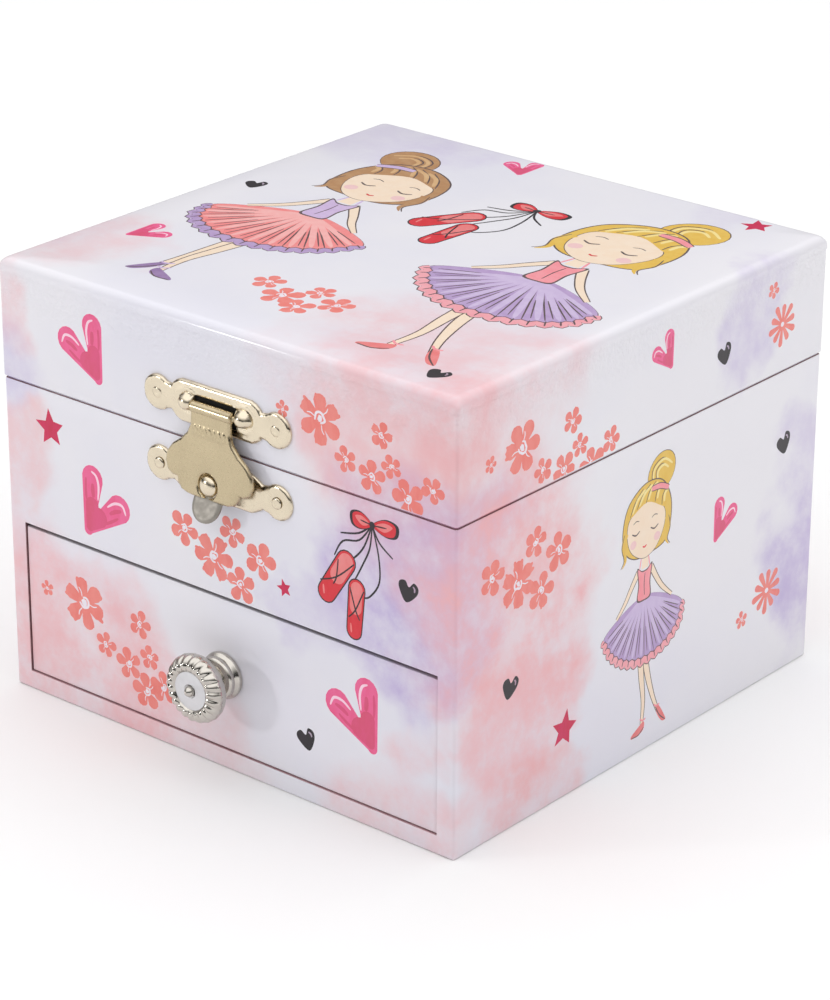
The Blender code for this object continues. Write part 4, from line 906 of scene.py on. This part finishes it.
def make_drawer_paper(picture):
    low, high = millimetres("drawer_front")
    surface = Surface()
    x0, x1, z0, z1 = low[0] - 0.14, high[0] + 0.14, low[2] - 0.12, high[2] + 0.04
    front = low[1] - PAPER - 0.1
    back = high[1] + 0.1

    def loop(inset, y):
        left, right, bottom, top = x0 + inset, x1 - inset, z0 + inset, z1 - inset
        return [(left, y, bottom), (right, y, bottom), (right, y, top), (left, y, top)]

    loops = [loop(3.0, back), loop(0.25, back), loop(0, back - 0.25)]
    loops += [loop(0, front + 0.35), loop(0.10, front + 0.10), loop(0.35, front)]
    surface.bands(loops)
    outline = [(x + HALF, z) for x, _, z in loops[-1]]
    surface.panel(outline, picture, lambda u, v: (u - HALF, front, v))
    return surface.build("drawer_paper", "drawer")


# ---- turned, swept and pressed pieces -----------------------------------------------------------
ALONG_MINUS_Y = Matrix.Rotation(math.radians(90), 4, "X")
ALONG_X = Matrix.Rotation(math.radians(90), 4, "Y")


def turned(bm, profile, place, segments=48, shape=None):
    """Adds a closed solid turned from (radius, height) in mm about Z, placed by a matrix.
    shape(radius, height, angle) may move each point."""
    rings = []
    for radius, height in profile:
        count = 1 if radius < 1e-6 else segments
        ring = []
        for k in range(count):
            a = 2 * math.pi * k / segments
            r, h = shape(radius, height, a) if shape else (radius, height)
            ring.append(bm.verts.new(place @ Vector((r * math.cos(a) * MM, r * math.sin(a) * MM, h * MM))))
        rings.append(ring)
    for lower, upper in zip(rings, rings[1:]):
        for k in range(segments):
            n = (k + 1) % segments
            corners = [lower[k % len(lower)], lower[n % len(lower)]]
            corners += [upper[n % len(upper)], upper[k % len(upper)]]
            bm.faces.new(list(dict.fromkeys(corners)))
    for ring in (rings[0], rings[-1]):
        if len(ring) > 1:
            bm.faces.new(ring)


def turned_object(name, profile, place, look, body, slot, sharp=45, segments=48, shape=None):
    """A turned solid as an object of its own."""
    bm = bmesh.new()
    turned(bm, profile, place, segments, shape)
    return new_object(name, bm, look, body, sharp)


def joined_rings(bm, rings):
    """Adds the faces between rings of as many points."""
    count = len(rings[0])
    for lower, upper in zip(rings, rings[1:]):
        for k in range(count):
            n = (k + 1) % count
            bm.faces.new((lower[k], lower[n], upper[n], upper[k]))


def tube(bm, points, radii, sides):
    """Adds a closed round bar along points, in mm, with a radius at each point."""
    points = [Vector(p) for p in points]
    rings = []
    side = (points[1] - points[0]).normalized().orthogonal()
    for k, (point, radius) in enumerate(zip(points, radii)):
        ahead = (points[min(k + 1, len(points) - 1)] - points[max(k - 1, 0)]).normalized()
        side = (side - ahead * side.dot(ahead)).normalized()
        other = ahead.cross(side)
        angles = [2 * math.pi * s / sides for s in range(sides)]
        spokes = [side * math.cos(a) + other * math.sin(a) for a in angles]
        rings.append([bm.verts.new((point + spoke * radius) * MM) for spoke in spokes])
    joined_rings(bm, rings)
    bm.faces.new(rings[0])
    bm.faces.new(rings[-1])


def pressed(bm, outline, front, back, place, step, hole=None):
    """Adds a pressed sheet from an outline in (x, z) mm. Its front is at front(x, z, distance from the edge)
    and its back at a fixed distance. Both are towards -Y before place is applied."""
    rings = [outline, hole] if hole else [outline]
    borders = [(Vector(a), Vector(b)) for ring in rings for a, b in zip(ring, ring[1:] + ring[:1])]

    def to_edge(p):
        nearest = 1e9
        for a, b in borders:
            along = b - a
            t = max(0.0, min(1.0, (p - a).dot(along) / along.length_squared))
            nearest = min(nearest, (a + along * t - p).length)
        return nearest

    x_low, x_high = min(p[0] for p in outline), max(p[0] for p in outline)
    z_low, z_high = min(p[1] for p in outline), max(p[1] for p in outline)
    inside = []
    for row in range(1, int((z_high - z_low) / step)):
        for column in range(1, int((x_high - x_low) / step)):
            p = Vector((x_low + step * (column + 0.5 * (row % 2)), z_low + step * row))
            if to_edge(p) > 0.30 * step:
                inside.append(p)
    points, triangles, sources = triangulated(rings, inside)
    near, far = [], []
    for x, z in points:
        lift = front(x, z, to_edge(Vector((x, z))))
        near.append(bm.verts.new(place @ Vector((x * MM, -lift * MM, z * MM))))
        far.append(bm.verts.new(place @ Vector((x * MM, -back * MM, z * MM))))
    used = {}
    for triangle, source in zip(triangles, sources):
        if hole and 1 in source:
            continue
        bm.faces.new([near[i] for i in triangle])
        bm.faces.new([far[i] for i in reversed(triangle)])
        for a, b in zip(triangle, list(triangle[1:]) + [triangle[0]]):
            used[(a, b)] = True
    for a, b in used:
        if (b, a) not in used:
            bm.faces.new((near[b], near[a], far[a], far[b]))
    drop_loose_points(bm)


# ---- latch --------------------------------------------------------------------------------------
NAILS = (-15.7, 15.7)  # where the nails are, across the latch
EARS = ((-7.4, 0.2), (7.4, 0.2))
WINDOW = [(-5.5, -2.6), (5.5, -2.6), (5.5, 1.9), (-5.5, 1.9)]
LOBE_RADIUS = 3.75
WAIST = 2.6  # half a plate's height where it is narrowest
HASP_AXIS_Y = -61.8
HASP_LEAN = math.radians(-4)  # the hasp rests clear of the stud
TAB_LEAN = math.radians(-22)
TAB_RADIUS = 3.7


def lobed_outline(half_height, flat):
    """A latch plate's outline: a flat middle, scalloped waists and a round lobe at each end."""
    lobe_x = NAILS[1]
    shoulder = [(flat, half_height), (flat + 1.3, half_height - 0.5)]
    shoulder += [(flat + 2.4, WAIST + 0.5), (lobe_x - 3.9, WAIST)]
    right = [(x, -z) for x, z in shoulder]
    for k in range(17):
        a = math.radians(-130 + 260 * k / 16)
        right.append((lobe_x + LOBE_RADIUS * math.cos(a), LOBE_RADIUS * math.sin(a)))
    right += shoulder[::-1]
    return right + [(-x, z) for x, z in reversed(right)]


def rounded_edge(edge, radius):
    """How far a sheet's rounded edge falls back, from 1 at the edge to 0 inside."""
    t = max(0.0, 1.0 - edge / radius)
    return 1.0 - math.sqrt(max(0.0, 1.0 - t * t))


def plate_front(ears=()):
    """A plate with a shallow dish round each nail, and a pressed ridge round each of its ears."""

    def front(x, z, edge):
        lift = 0.66 - 0.42 * rounded_edge(edge, 0.6)
        for nail_x in NAILS:
            lift -= 0.16 * math.exp(-((math.hypot(x - nail_x, z) / 1.9) ** 2))
        for ear_x, ear_z in ears:
            from_ear = math.hypot((x - ear_x) / 1.15, z - ear_z)
            lift += 1.75 * math.sqrt(max(0.0, 1 - (from_ear / 1.75) ** 2))
            lift += 0.22 * math.exp(-(((from_ear - 2.65) / 0.36) ** 2))
        return lift

    return front


def hasp_front(x, z, edge):
    """A slightly domed sheet, with a row of stamped chevrons below the roll."""
    lift = 0.95 - 0.40 * rounded_edge(edge, 0.5)
    lift += 0.18 * max(0.0, 1 - (x / 11.0) ** 2) * min(1.0, max(0.0, (-z - 4) / 5))
    if -5.3 < z < -3.3 and abs(x) < 4.3:
        across = (x + 8.6) / 1.25 + abs(z + 4.3) * 0.9
        lift += 0.26 * (1 - 2 * abs(across - math.floor(across) - 0.5))
    return lift


def tab_front(x, z, edge):
    return 0.45 - 0.3 * rounded_edge(edge, 0.4)


def middle_height(node):
    low, high = millimetres(node)
    return (low[2] + high[2]) / 2


def make_latch():
    """The two plates, the hasp with its roll and tab, the stud and the nails."""
    face = -HALF - PAPER - 0.05
    lower_z = middle_height("latch_lower_plate") - 0.2
    axis_z = middle_height("latch_upper_plate") - 0.1

    def piece(name, look, body, *sheet):
        bm = bmesh.new()
        pressed(bm, *sheet)
        return new_object(name, bm, look, body, 50)

    place = Matrix.Translation((0, (face - PAPER) * MM, axis_z * MM))
    upper_sheet = (lobed_outline(4.5, 9.2), plate_front(EARS), -0.2, place, 0.42, WINDOW)
    upper = piece("upper_plate", BRASS_SHEET, "lid", *upper_sheet)
    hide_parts("latch_upper_plate")

    # A near-black sheet behind the plate's window: painted shadow, as the window's bottom is always in shade
    behind_window = [(x * 1.08, z * 1.15) for x, z in WINDOW]
    piece("window_painted_shadow", SHADOWED, "lid", behind_window, lambda x, z, edge: 0.16, -0.1, place, 0.8)

    place = Matrix.Translation((0, face * MM, lower_z * MM))
    lower_sheet = (lobed_outline(4.2, 8.6), plate_front(), -0.2, place, 0.42)
    lower = piece("lower_plate", BRASS_SHEET, "case", *lower_sheet)
    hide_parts("latch_lower_plate")

    lean = Matrix.Translation(Vector((0, HASP_AXIS_Y, axis_z)) * MM) @ Matrix.Rotation(HASP_LEAN, 4, "X")
    right = [(5.2, 0.6), (5.2, -3.4), (5.9, -5.2), (7.6, -7.0), (9.8, -8.6), (11.3, -10.6), (11.6, -12.6)]
    right += [(10.9, -14.4), (9.6, -15.2), (8.3, -15.2), (7.9, -16.4), (7.0, -17.5), (5.2, -18.0)]
    right.append((3.9, -18.1))
    outline = [(-x, z) for x, z in right] + right[::-1]
    bm = bmesh.new()
    pressed(bm, outline, hasp_front, 0.15, lean, 0.34, oval(0, lower_z - axis_z, 2.55, 2.55, 0, 28))
    turned(bm, [(1.00, -5.3), (1.25, -5.1), (1.25, 5.1), (1.00, 5.3)], lean @ ALONG_X, 28)
    turned(bm, [(0.55, -6.6), (0.62, -6.4), (0.62, 6.4), (0.55, 6.6)], lean @ ALONG_X, 16)
    hasp = new_object("hasp_sheet", bm, HASP_SHEET, "hasp", 50)
    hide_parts("latch_hasp")

    # The lift tab, bent out of the hasp's sheet; its grey colour is painted reflection of the floor below, in
    # place of the hasp's gold
    tab = [(-TAB_RADIUS, 0.5), (TAB_RADIUS, 0.5)]
    for k in range(15):
        a = -math.pi * k / 14
        tab.append((TAB_RADIUS * math.cos(a), -1.3 + TAB_RADIUS * math.sin(a)))
    place = lean @ Matrix.Translation((0, -0.35 * MM, -17.9 * MM)) @ Matrix.Rotation(TAB_LEAN, 4, "X")
    piece("hasp_tab", TAB_GREY_REFLECTION, "hasp", tab, tab_front, -0.15, place, 0.5)

    dome = [(1.3, -0.1), (1.35, 2.2), (2.1, 2.4), (2.28, 2.8), (2.20, 3.3), (1.95, 3.75)]
    dome += [(1.45, 4.1), (0.8, 4.3), (0, 4.38)]
    place = Matrix.Translation((0, face * MM, lower_z * MM)) @ ALONG_MINUS_Y
    stud = turned_object("stud_dome", dome, place, BRASS_SHEET, "case", "pale_brass", 40, 36)
    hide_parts("latch_stud")

    nail = [(0.7, -0.3), (0.75, 0.60), (1.15, 0.64), (1.22, 0.74)]
    nail += [(1.10, 0.90), (0.75, 1.00), (0.45, 0.92), (0, 0.86)]
    for level, body, z in (("upper", "lid", axis_z), ("lower", "case", lower_z)):
        for side, x in zip(("left", "right"), NAILS):
            place = Matrix.Translation((x * MM, face * MM, z * MM)) @ ALONG_MINUS_Y
            name = f"{level}_nail_{side}"
            made = turned_object(name, nail, place, BRASS_SHEET, body, "pale_brass", 40, 24)
            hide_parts(f"latch_{level}_nail_{side}")


# ---- knob ---------------------------------------------------------------------------------------
FLUTES = 22
RIM_INNER = 4.3  # radius where the flutes begin
RIM_OUTER = 7.2  # radius past which they lie on the rim's side


def rope_rim(radius, height, angle):
    """Slanting flutes round the knob's rim."""
    if radius <= RIM_INNER:
        return radius, height
    outward = (radius - RIM_INNER) / 3.0
    share = math.sin(math.pi * min(1.0, outward)) ** 0.5 if radius < RIM_OUTER else 0.55
    slant = 0.55 * outward - 0.10 * (height - 8)
    wave = share * (abs(math.sin(FLUTES / 2 * angle + slant * 2)) ** 0.7 - 0.6)
    return radius + 0.30 * wave, height + 0.50 * wave * (1 if height > 8 else 0.3)


def make_knob():
    low, high = millimetres("knob_collar")
    centre = ((low[0] + high[0]) / 2, high[1], (low[2] + high[2]) / 2)
    place = Matrix.Translation(Vector(centre) * MM) @ ALONG_MINUS_Y
    on_drawer = ("drawer", "bright_nickel")
    collar = [(2.0, 0.05), (4.6, 0.05), (5.0, 0.25), (5.1, 0.7), (4.95, 1.2), (4.5, 1.5), (4.4, 1.9)]
    collar += [(4.6, 2.2), (4.5, 2.8), (4.0, 3.3), (2.0, 3.4)]
    rosette = turned_object("knob_rosette", collar, place, NICKEL, *on_drawer, segments=56)
    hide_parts("knob_collar")
    head = [(1.5, 3.2), (2.9, 3.3), (2.8, 3.9), (2.6, 4.5), (2.8, 5.0), (3.4, 5.5), (4.6, 6.0), (5.8, 6.4)]
    head += [(6.8, 6.9), (7.15, 7.4), (7.3, 8.0), (7.25, 8.6), (7.0, 9.2), (6.6, 9.8), (6.0, 10.3)]
    head += [(5.4, 10.6), (4.8, 10.6), (4.4, 10.4), (4.25, 10.1), (4.1, 10.0)]
    rim = turned_object("knob_rim", head, place, NICKEL, *on_drawer, 60, FLUTES * 8, rope_rim)
    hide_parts("knob_head")
    disc = [(1.2, 9.6), (4.15, 9.7), (4.1, 10.15), (1.5, 10.25), (1.35, 10.05), (1.2, 10.0)]
    turned_object("knob_face", disc, place, NICKEL_FROSTED, *on_drawer)
    pin = [(1.0, 9.8), (1.15, 10.2), (1.05, 10.7), (0.7, 11.2), (0.3, 11.5), (0, 11.6)]
    turned_object("knob_pin", pin, place, NICKEL, *on_drawer, segments=32)


# ---- lining and rolls ---------------------------------------------------------------------------
def lining_band(name, body, half, low, high, thickness):
    """Lining paper round the inside of four walls, with a soft top edge."""
    bm = bmesh.new()
    inner = half - thickness
    profile = [(half, low), (inner, low), (inner, high - 0.3)]
    profile += [(half - thickness * 0.6, high - 0.05), (half, high)]
    rings = square_rings(profile, 0.5)
    made = [[bm.verts.new(Vector(p) * MM) for p in ring] for ring in rings]
    joined_rings(bm, made + made[:1])
    return new_object(name, bm, LINING, body, 40)


def make_linings():
    shelf_top = millimetres("shelf_board")[1][2]
    wall_low, wall_high = millimetres("case_right_wall")
    inner = wall_low[0] - 0.02
    lining_band("case_lining", "case", inner, shelf_top + 0.02, wall_high[2] - 0.15, 0.24)
    rim = millimetres("lid_rim")[0][2]
    mirror_frame = millimetres("mirror_frame")[0][2]
    lining_band("lid_lining", "lid", inner, rim + 0.2, mirror_frame - 0.05, 0.45)


ROLL_INSET = 0.0003  # how far a roll's velvet starts inside the CAD roll, in metres
ROLL_COLUMNS = 60
MOST_SHIFT = 0.00025  # the furthest that the simulation may move a point, in metres


def make_ring_rolls():
    """Foam rolls under velvet, each filled out by a short cloth simulation."""
    for number in (1, 2, 3):
        node = f"ring_roll_{number}"
        low, high = (Vector(c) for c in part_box(node))
        radius = (high.y - low.y) / 2 - ROLL_INSET
        middle_y = (low.y + high.y) / 2
        base = low.z + 0.0002
        outline = [(middle_y + radius * 0.96, base)]
        for k in range(21):
            a = math.pi * k / 20
            z = high.z - ROLL_INSET - radius + radius * math.sin(a)
            outline.append((middle_y + radius * math.cos(a), z))
        outline.append((middle_y - radius * 0.96, base))
        bm = bmesh.new()
        rings = []
        for column in range(ROLL_COLUMNS + 1):
            t = column / ROLL_COLUMNS
            x = low.x + ROLL_INSET + (high.x - low.x - 2 * ROLL_INSET) * t
            from_end = min(t, 1 - t) * ROLL_COLUMNS
            squeeze = 1.0 - 0.10 * max(0.0, 1 - from_end / 2.5) ** 2
            ring = [(x, middle_y + (y - middle_y) * squeeze, base + (z - base) * squeeze) for y, z in outline]
            rings.append([bm.verts.new(p) for p in ring])
        joined_rings(bm, rings)
        bm.faces.new(rings[0])
        bm.faces.new(rings[-1])
        roll = new_object(f"velvet_roll_{number}", bm, VELVET, None)
        soften(roll, number)
        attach(roll, "case")
        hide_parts(node)


def soften(roll, seed):
    """A short cloth simulation under pressure, kept close to the roll's own shape, then smooth shading."""
    remesh = roll.modifiers.new("remesh", "REMESH")
    remesh.mode = "VOXEL"
    remesh.voxel_size = 0.0011
    apply_modifiers(roll)
    start = [v.co.copy() for v in roll.data.vertices]
    fill_out(roll, seed)
    for v, rest in zip(roll.data.vertices, start):
        shift = v.co - rest
        if shift.length > MOST_SHIFT:
            shift = shift.normalized() * MOST_SHIFT
        v.co = rest + shift
    roll.data.shade_smooth()
    finish = roll.modifiers.new("smooth", "SUBSURF")
    finish.levels = 1
    finish.render_levels = 1


def fill_out(roll, seed):
    scene = bpy.context.scene
    scene.gravity = (0, 0, 0)
    cloth = roll.modifiers.new("cloth", "CLOTH")
    settings = cloth.settings
    settings.quality = 5
    settings.mass = 0.15
    settings.use_pressure = True
    settings.uniform_pressure_force = 4.0
    settings.tension_stiffness = 12
    settings.compression_stiffness = 4
    settings.shear_stiffness = 6
    settings.bending_stiffness = 0.3
    settings.effector_weights.gravity = 0
    settings.shrink_min = -0.02 - 0.005 * seed
    cloth.point_cache.frame_start = 1
    cloth.point_cache.frame_end = 16
    for step in range(1, 17):
        scene.frame_set(step)
    apply_modifiers(roll)
    scene.frame_set(1)


def apply_modifiers(obj):
    graph = bpy.context.evaluated_depsgraph_get()
    mesh = bpy.data.meshes.new_from_object(obj.evaluated_get(graph))
    obj.modifiers.clear()
    obj.data = mesh


# ---- dancer -------------------------------------------------------------------------------------
FOLD = math.radians(74)  # how far the dancer leans with the lid shut
IDENTITY = Matrix.Identity(4)


def make_dancer():
    """A painted figure on a bending spring. Her parts are made upright, in mm above the pivot, and leaned."""
    tilt_joint = next(j for j in frame["joints"] if j["name"] == "dancer_tilt")
    pivot = Vector(tilt_joint["pos_m"])
    lean = Matrix.Translation(pivot) @ Matrix.Rotation(FOLD, 4, "X")

    def add(name, bm, look, slot="dancer_plastic", sharp=60):
        bmesh.ops.transform(bm, matrix=lean, verts=bm.verts)
        return new_object(name, bm, look, "dancer", sharp)

    bm = bmesh.new()
    turned(bm, [(2.2, 8.6), (2.35, 8.8), (2.35, 9.3), (2.0, 9.6), (1.0, 9.75), (0, 9.8)], IDENTITY, 28)
    standing = [(0, 0, 9.4), (0.1, 0, 11.2), (0.15, 0, 14.0), (0.1, 0, 16.6), (0, 0, 19.5), (0, 0, 24.2)]
    tube(bm, standing, [0.42, 0.60, 0.88, 0.85, 1.25, 1.6], 16)
    raised = [(0, 0, 23.0), (1.9, -0.4, 19.6), (3.4, -0.6, 17.4), (2.2, -0.3, 16.0), (0.7, 0.0, 15.0)]
    tube(bm, raised, [1.5, 1.2, 0.95, 0.70, 0.40], 16)
    arm = [(1.6, 0, 31.9), (4.3, -0.3, 34.0), (5.4, -0.5, 38.2)]
    arm += [(5.0, -0.6, 43.0), (2.9, -0.6, 47.0), (0.9, -0.6, 48.6)]
    for side in (-1, 1):
        tube(bm, [(side * x, y, z) for x, y, z in arm], [0.95, 0.72, 0.66, 0.58, 0.45, 0.28], 14)
    neck_and_head = [(0.9, 31.8), (0.95, 34.4), (1.2, 35.4), (2.0, 36.0), (2.6, 37.2), (2.85, 38.8)]
    neck_and_head += [(2.7, 40.6), (1.9, 41.9), (0.9, 42.4), (0, 42.5)]
    turned(bm, neck_and_head, IDENTITY, 28)
    figure = add("dancer_skin", bm, SKIN_PAINT)
    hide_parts("dancer_figure")

    bm = bmesh.new()
    bodice = [(1.6, 23.4), (2.1, 24.4), (1.9, 25.8), (1.7, 26.8), (2.1, 28.6), (2.6, 30.6)]
    turned(bm, bodice + [(2.6, 31.9), (2.0, 32.8), (1.2, 33.0), (0.8, 32.2)], IDENTITY, 36)
    add("dancer_bodice", bm, BODICE_PAINT)

    bm = bmesh.new()
    cap = [(2.2, 38.3), (2.95, 38.9), (3.02, 40.0), (2.7, 41.5), (1.9, 42.6), (1.1, 43.0)]
    bun = [(1.0, 43.3), (1.5, 43.9), (1.65, 44.7), (1.3, 45.6), (0.6, 46.0), (0, 46.1)]
    behind = Matrix.Translation((0, 0.4 * MM, 0))
    turned(bm, cap + bun, behind, 28, lambda r, h, a: (r * (1 + 0.03 * math.sin(14 * a)), h))
    add("dancer_hair", bm, HAIR_PAINT)

    bm = bmesh.new()
    for x in (-0.95, 0.95):
        place = Matrix.Translation(Vector((x, -2.55, 38.9)) * MM) @ ALONG_MINUS_Y
        turned(bm, [(0.26, -0.15), (0.26, 0.10), (0.13, 0.17), (0, 0.18)], place, 12)
    add("dancer_eyes", bm, EYE_PAINT)

    make_tutu(add)
    make_spring(pivot)


TUTU_WAIST = 1.75
TUTU_SEGMENTS = 144
TUTU_ROWS = 12
NET_THICKNESS = 0.00008


def make_tutu(add):
    """Three ruffled rings of net, gathered at the waist."""
    for layer, (outer, drop, waves) in enumerate(((11.8, 3.4, 13), (11.2, 4.4, 11), (10.2, 5.4, 12))):
        bm = bmesh.new()
        rings = []
        for row in range(TUTU_ROWS + 1):
            t = row / TUTU_ROWS
            radius = TUTU_WAIST + (outer - TUTU_WAIST) * t
            ring = []
            for k in range(TUTU_SEGMENTS):
                a = 2 * math.pi * k / TUTU_SEGMENTS
                ruffle = 0.55 * t**1.5 * math.sin(waves * a + layer)
                ruffle += 0.25 * t * math.sin(2 * waves * a + 1.3 * layer)
                height = 25.4 - layer * 0.35 - drop * t * (0.55 + 0.45 * t) + ruffle
                r = radius + 0.15 * t * math.sin(3 * waves * a)
                ring.append(bm.verts.new((r * math.cos(a) * MM, r * math.sin(a) * MM, height * MM)))
            rings.append(ring)
        joined_rings(bm, rings)
        area = sum(face.calc_area() for face in bm.faces)
        ruffles = add(f"tutu_net_{layer + 1}", bm, TULLE, "dancer_tulle", None)
        ruffles.data.shade_smooth()
        net = ruffles.modifiers.new("net", "SOLIDIFY")
        net.thickness = NET_THICKNESS
        if layer == 0:
            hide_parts("dancer_tutu")


COIL_TURNS, COIL_STEPS = 8, 20
COIL_RADIUS, COIL_WIRE = 1.55, 0.26
COIL_ROUNDS = 60  # enough for each point's share of the fold to settle
COIL_LOW, COIL_HIGH = -2.5, 8.4  # the coil's ends, in mm above the pivot


def make_spring(pivot):
    """The coil under her, which bends between the case and the part that leans.
    It is drawn upright, then each point is turned back by its own share of the fold."""
    start = pivot + Vector((0, 0, -2.7 * MM))
    top = pivot + Matrix.Rotation(FOLD, 3, "X") @ Vector((0, 0, COIL_HIGH * MM))
    span = top - start
    count = COIL_TURNS * COIL_STEPS
    points = []
    for k in range(count + 1):
        a = 2 * math.pi * k / COIL_STEPS
        height = COIL_LOW + (COIL_HIGH - COIL_LOW) * k / count
        points.append((COIL_RADIUS * math.cos(a), COIL_RADIUS * math.sin(a), height))
    bm = bmesh.new()
    tube(bm, points, [COIL_WIRE] * len(points), 10)
    for v in bm.verts:
        upright = v.co.copy()
        share = 0.5
        for _ in range(COIL_ROUNDS):
            v.co = pivot + Matrix.Rotation(FOLD * share, 3, "X") @ upright
            t = min(1.0, max(0.0, (v.co - start).dot(span) / span.length_squared))
            share += 0.5 * (t * t * (3 - 2 * t) - share)
    coil = new_object("bending_coil", bm, STEEL, None, 60)
    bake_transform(coil)
    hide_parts("dancer_spring")


# ---- CAD nodes that stay ------------------------------------------------------------------------
def finish_cad():
    """Gives each CAD node that is shown its material, and softens the sharp edges of the steel, movement brass and
    lining nodes, all but the pinned cylinder.
    """
    looks = {
        "printed_paper_board": BOARD,
        "pink_lining": LINING,
        "ring_velvet": VELVET,
        "mirror_glass": MIRROR,
        "pale_brass": BRASS_SHEET,
        "bright_nickel": NICKEL,
        "steel": STEEL,
        "movement_brass": BRASS,
        "dancer_plastic": SKIN_PAINT,
        "dancer_tulle": TULLE,
    }
    slots = {s["node"]: s["material_slot"] for s in frame["record"]["subparts"]}
    for name, obj in frame["nodes"].items():
        obj.data.materials.clear()
        obj.data.materials.append(looks[slots[name]])
        if slots[name] in ("steel", "movement_brass", "pink_lining") and name != "pinned_cylinder":
            worn = obj.modifiers.new("worn edge", "BEVEL")
            worn.width = 0.00012
            worn.segments = 2
            worn.limit_method = "ANGLE"
            worn.angle_limit = math.radians(35)


# ---- stage --------------------------------------------------------------------------------------
SKY = {"From Min": 0.25, "From Max": 0.75, "To Min": 0.03, "To Max": 1.36}  # light by height, dark below
CAMERA_PLACE = (0.443, -0.5305, 0.3401)
AZIMUTH, ELEVATION, ROLL = (math.radians(a) for a in (39.88, 23.51, 0.24))


def area_light(name, place, aim, size, power):
    light = bpy.data.lights.new(name, "AREA")
    light.shape = "DISK"
    light.size = size
    light.energy = power
    obj = in_scene(name, light)
    obj.location = place
    obj.rotation_euler = (Vector(aim) - Vector(place)).to_track_quat("-Z", "Y").to_euler()


def make_floor():
    bm = bmesh.new()
    bmesh.ops.create_grid(bm, x_segments=8, y_segments=8, size=3.0)
    mesh = bpy.data.meshes.new("floor")
    bm.to_mesh(mesh)
    bm.free()
    mesh.materials.append(Shader("floor", (0.96, 0.96, 0.96), 0.9).material)
    floor = in_scene("floor", mesh)
    floor.location.z = -0.0001


def make_lights():
    world = bpy.data.worlds.new("studio")
    world.use_nodes = True
    tree = world.node_tree
    background = tree.nodes["Background"]
    background.inputs["Color"].default_value = (1.0, 1.0, 1.0, 1.0)
    place = tree.nodes.new("ShaderNodeTexCoord")
    height = tree.nodes.new("ShaderNodeSeparateXYZ")
    sky = tree.nodes.new("ShaderNodeMapRange")
    for socket, value in SKY.items():
        sky.inputs[socket].default_value = value
    tree.links.new(place.outputs["Generated"], height.inputs[0])
    tree.links.new(height.outputs["Z"], sky.inputs["Value"])
    tree.links.new(sky.outputs[0], background.inputs["Strength"])
    bpy.context.scene.world = world
    bpy.context.scene.view_settings.view_transform = "Standard"
    area_light("front", (-0.52, -0.70, 0.22), (0, -0.06, 0.085), 0.09, 1.1)
    area_light("right", (0.95, 0.25, 0.45), (0, 0, 0.05), 0.7, 1.3)
    sun = bpy.data.lights.new("top", "SUN")
    sun.energy = 0.25
    sun.angle = math.radians(100)
    in_scene("top", sun)


def make_camera():
    camera = bpy.data.cameras.new("camera")
    camera.lens = 128.4
    camera.sensor_width = 36
    obj = in_scene("camera", camera)
    obj.location = CAMERA_PLACE
    forward = math.cos(ELEVATION)
    looking = Vector((-math.sin(AZIMUTH) * forward, math.cos(AZIMUTH) * forward, -math.sin(ELEVATION)))
    obj.rotation_mode = "QUATERNION"
    obj.rotation_quaternion = looking.to_track_quat("-Z", "Y") @ Matrix.Rotation(ROLL, 3, "Z").to_quaternion()
    bpy.context.scene.camera = obj


PRINTED = printed_paper()
BOARD = Shader("plain_board", (0.93, 0.88, 0.90), 0.6).material
LINING = flocked("pink_flock", (0.90, 0.56, 0.66))
VELVET = flocked("pink_velvet", (0.86, 0.42, 0.56), 0.9)
MIRROR = Shader("mirror", (0.93, 0.94, 0.95), 0.02, 1.0).material
BRASS_SHEET = metal("pale_gold_sheet", (0.87, 0.82, 0.73), 0.20, 0.03, dents=0.8)
HASP_SHEET = metal("gold_hasp_sheet", (0.75, 0.69, 0.57), 0.24, 0.03, dents=0.2)
# Painted reflection: the tab's metal is given the grey of the floor it reflects
TAB_GREY_REFLECTION = metal("tab_sheet_painted_reflection", (0.62, 0.60, 0.57), 0.50, 0.03)
# Painted shadow: near-black for the sheet where the window's recess is in shade
SHADOWED = Shader("shadowed_bottom", (0.05, 0.04, 0.03), 0.8).material
NICKEL = metal("bright_nickel", (0.79, 0.77, 0.74), 0.15, 0.01)
NICKEL_FROSTED = metal("frosted_nickel", (0.86, 0.86, 0.87), 0.42, 0.06)
STEEL = metal("satin_steel", (0.66, 0.66, 0.68), 0.30, 0.02, stretch=(1, 8, 1))
BRASS = metal("machined_brass", (0.83, 0.68, 0.38), 0.24, 0.02, stretch=(6, 1, 6))
SKIN_PAINT = painted("painted_skin", (0.96, 0.80, 0.71))
BODICE_PAINT = painted("painted_bodice", (0.93, 0.55, 0.68), 0.3)
HAIR_PAINT = painted("painted_hair", (0.45, 0.29, 0.18), 0.45)
EYE_PAINT = painted("painted_eyes", (0.12, 0.08, 0.07), 0.3)
TULLE = tulle_cloth()

sides = {
    "front": front_pictures(),
    "right": right_pictures(),
    "left": left_pictures(),
    "back": back_pictures(),
}
make_case_paper({side: case for side, (case, _) in sides.items()})
make_lid_paper({side: lid for side, (_, lid) in sides.items()}, top_picture())
make_drawer_paper(drawer_picture())
make_latch()
make_knob()
make_linings()
make_ring_rolls()
make_dancer()
finish_cad()
make_floor()
make_lights()
make_camera()
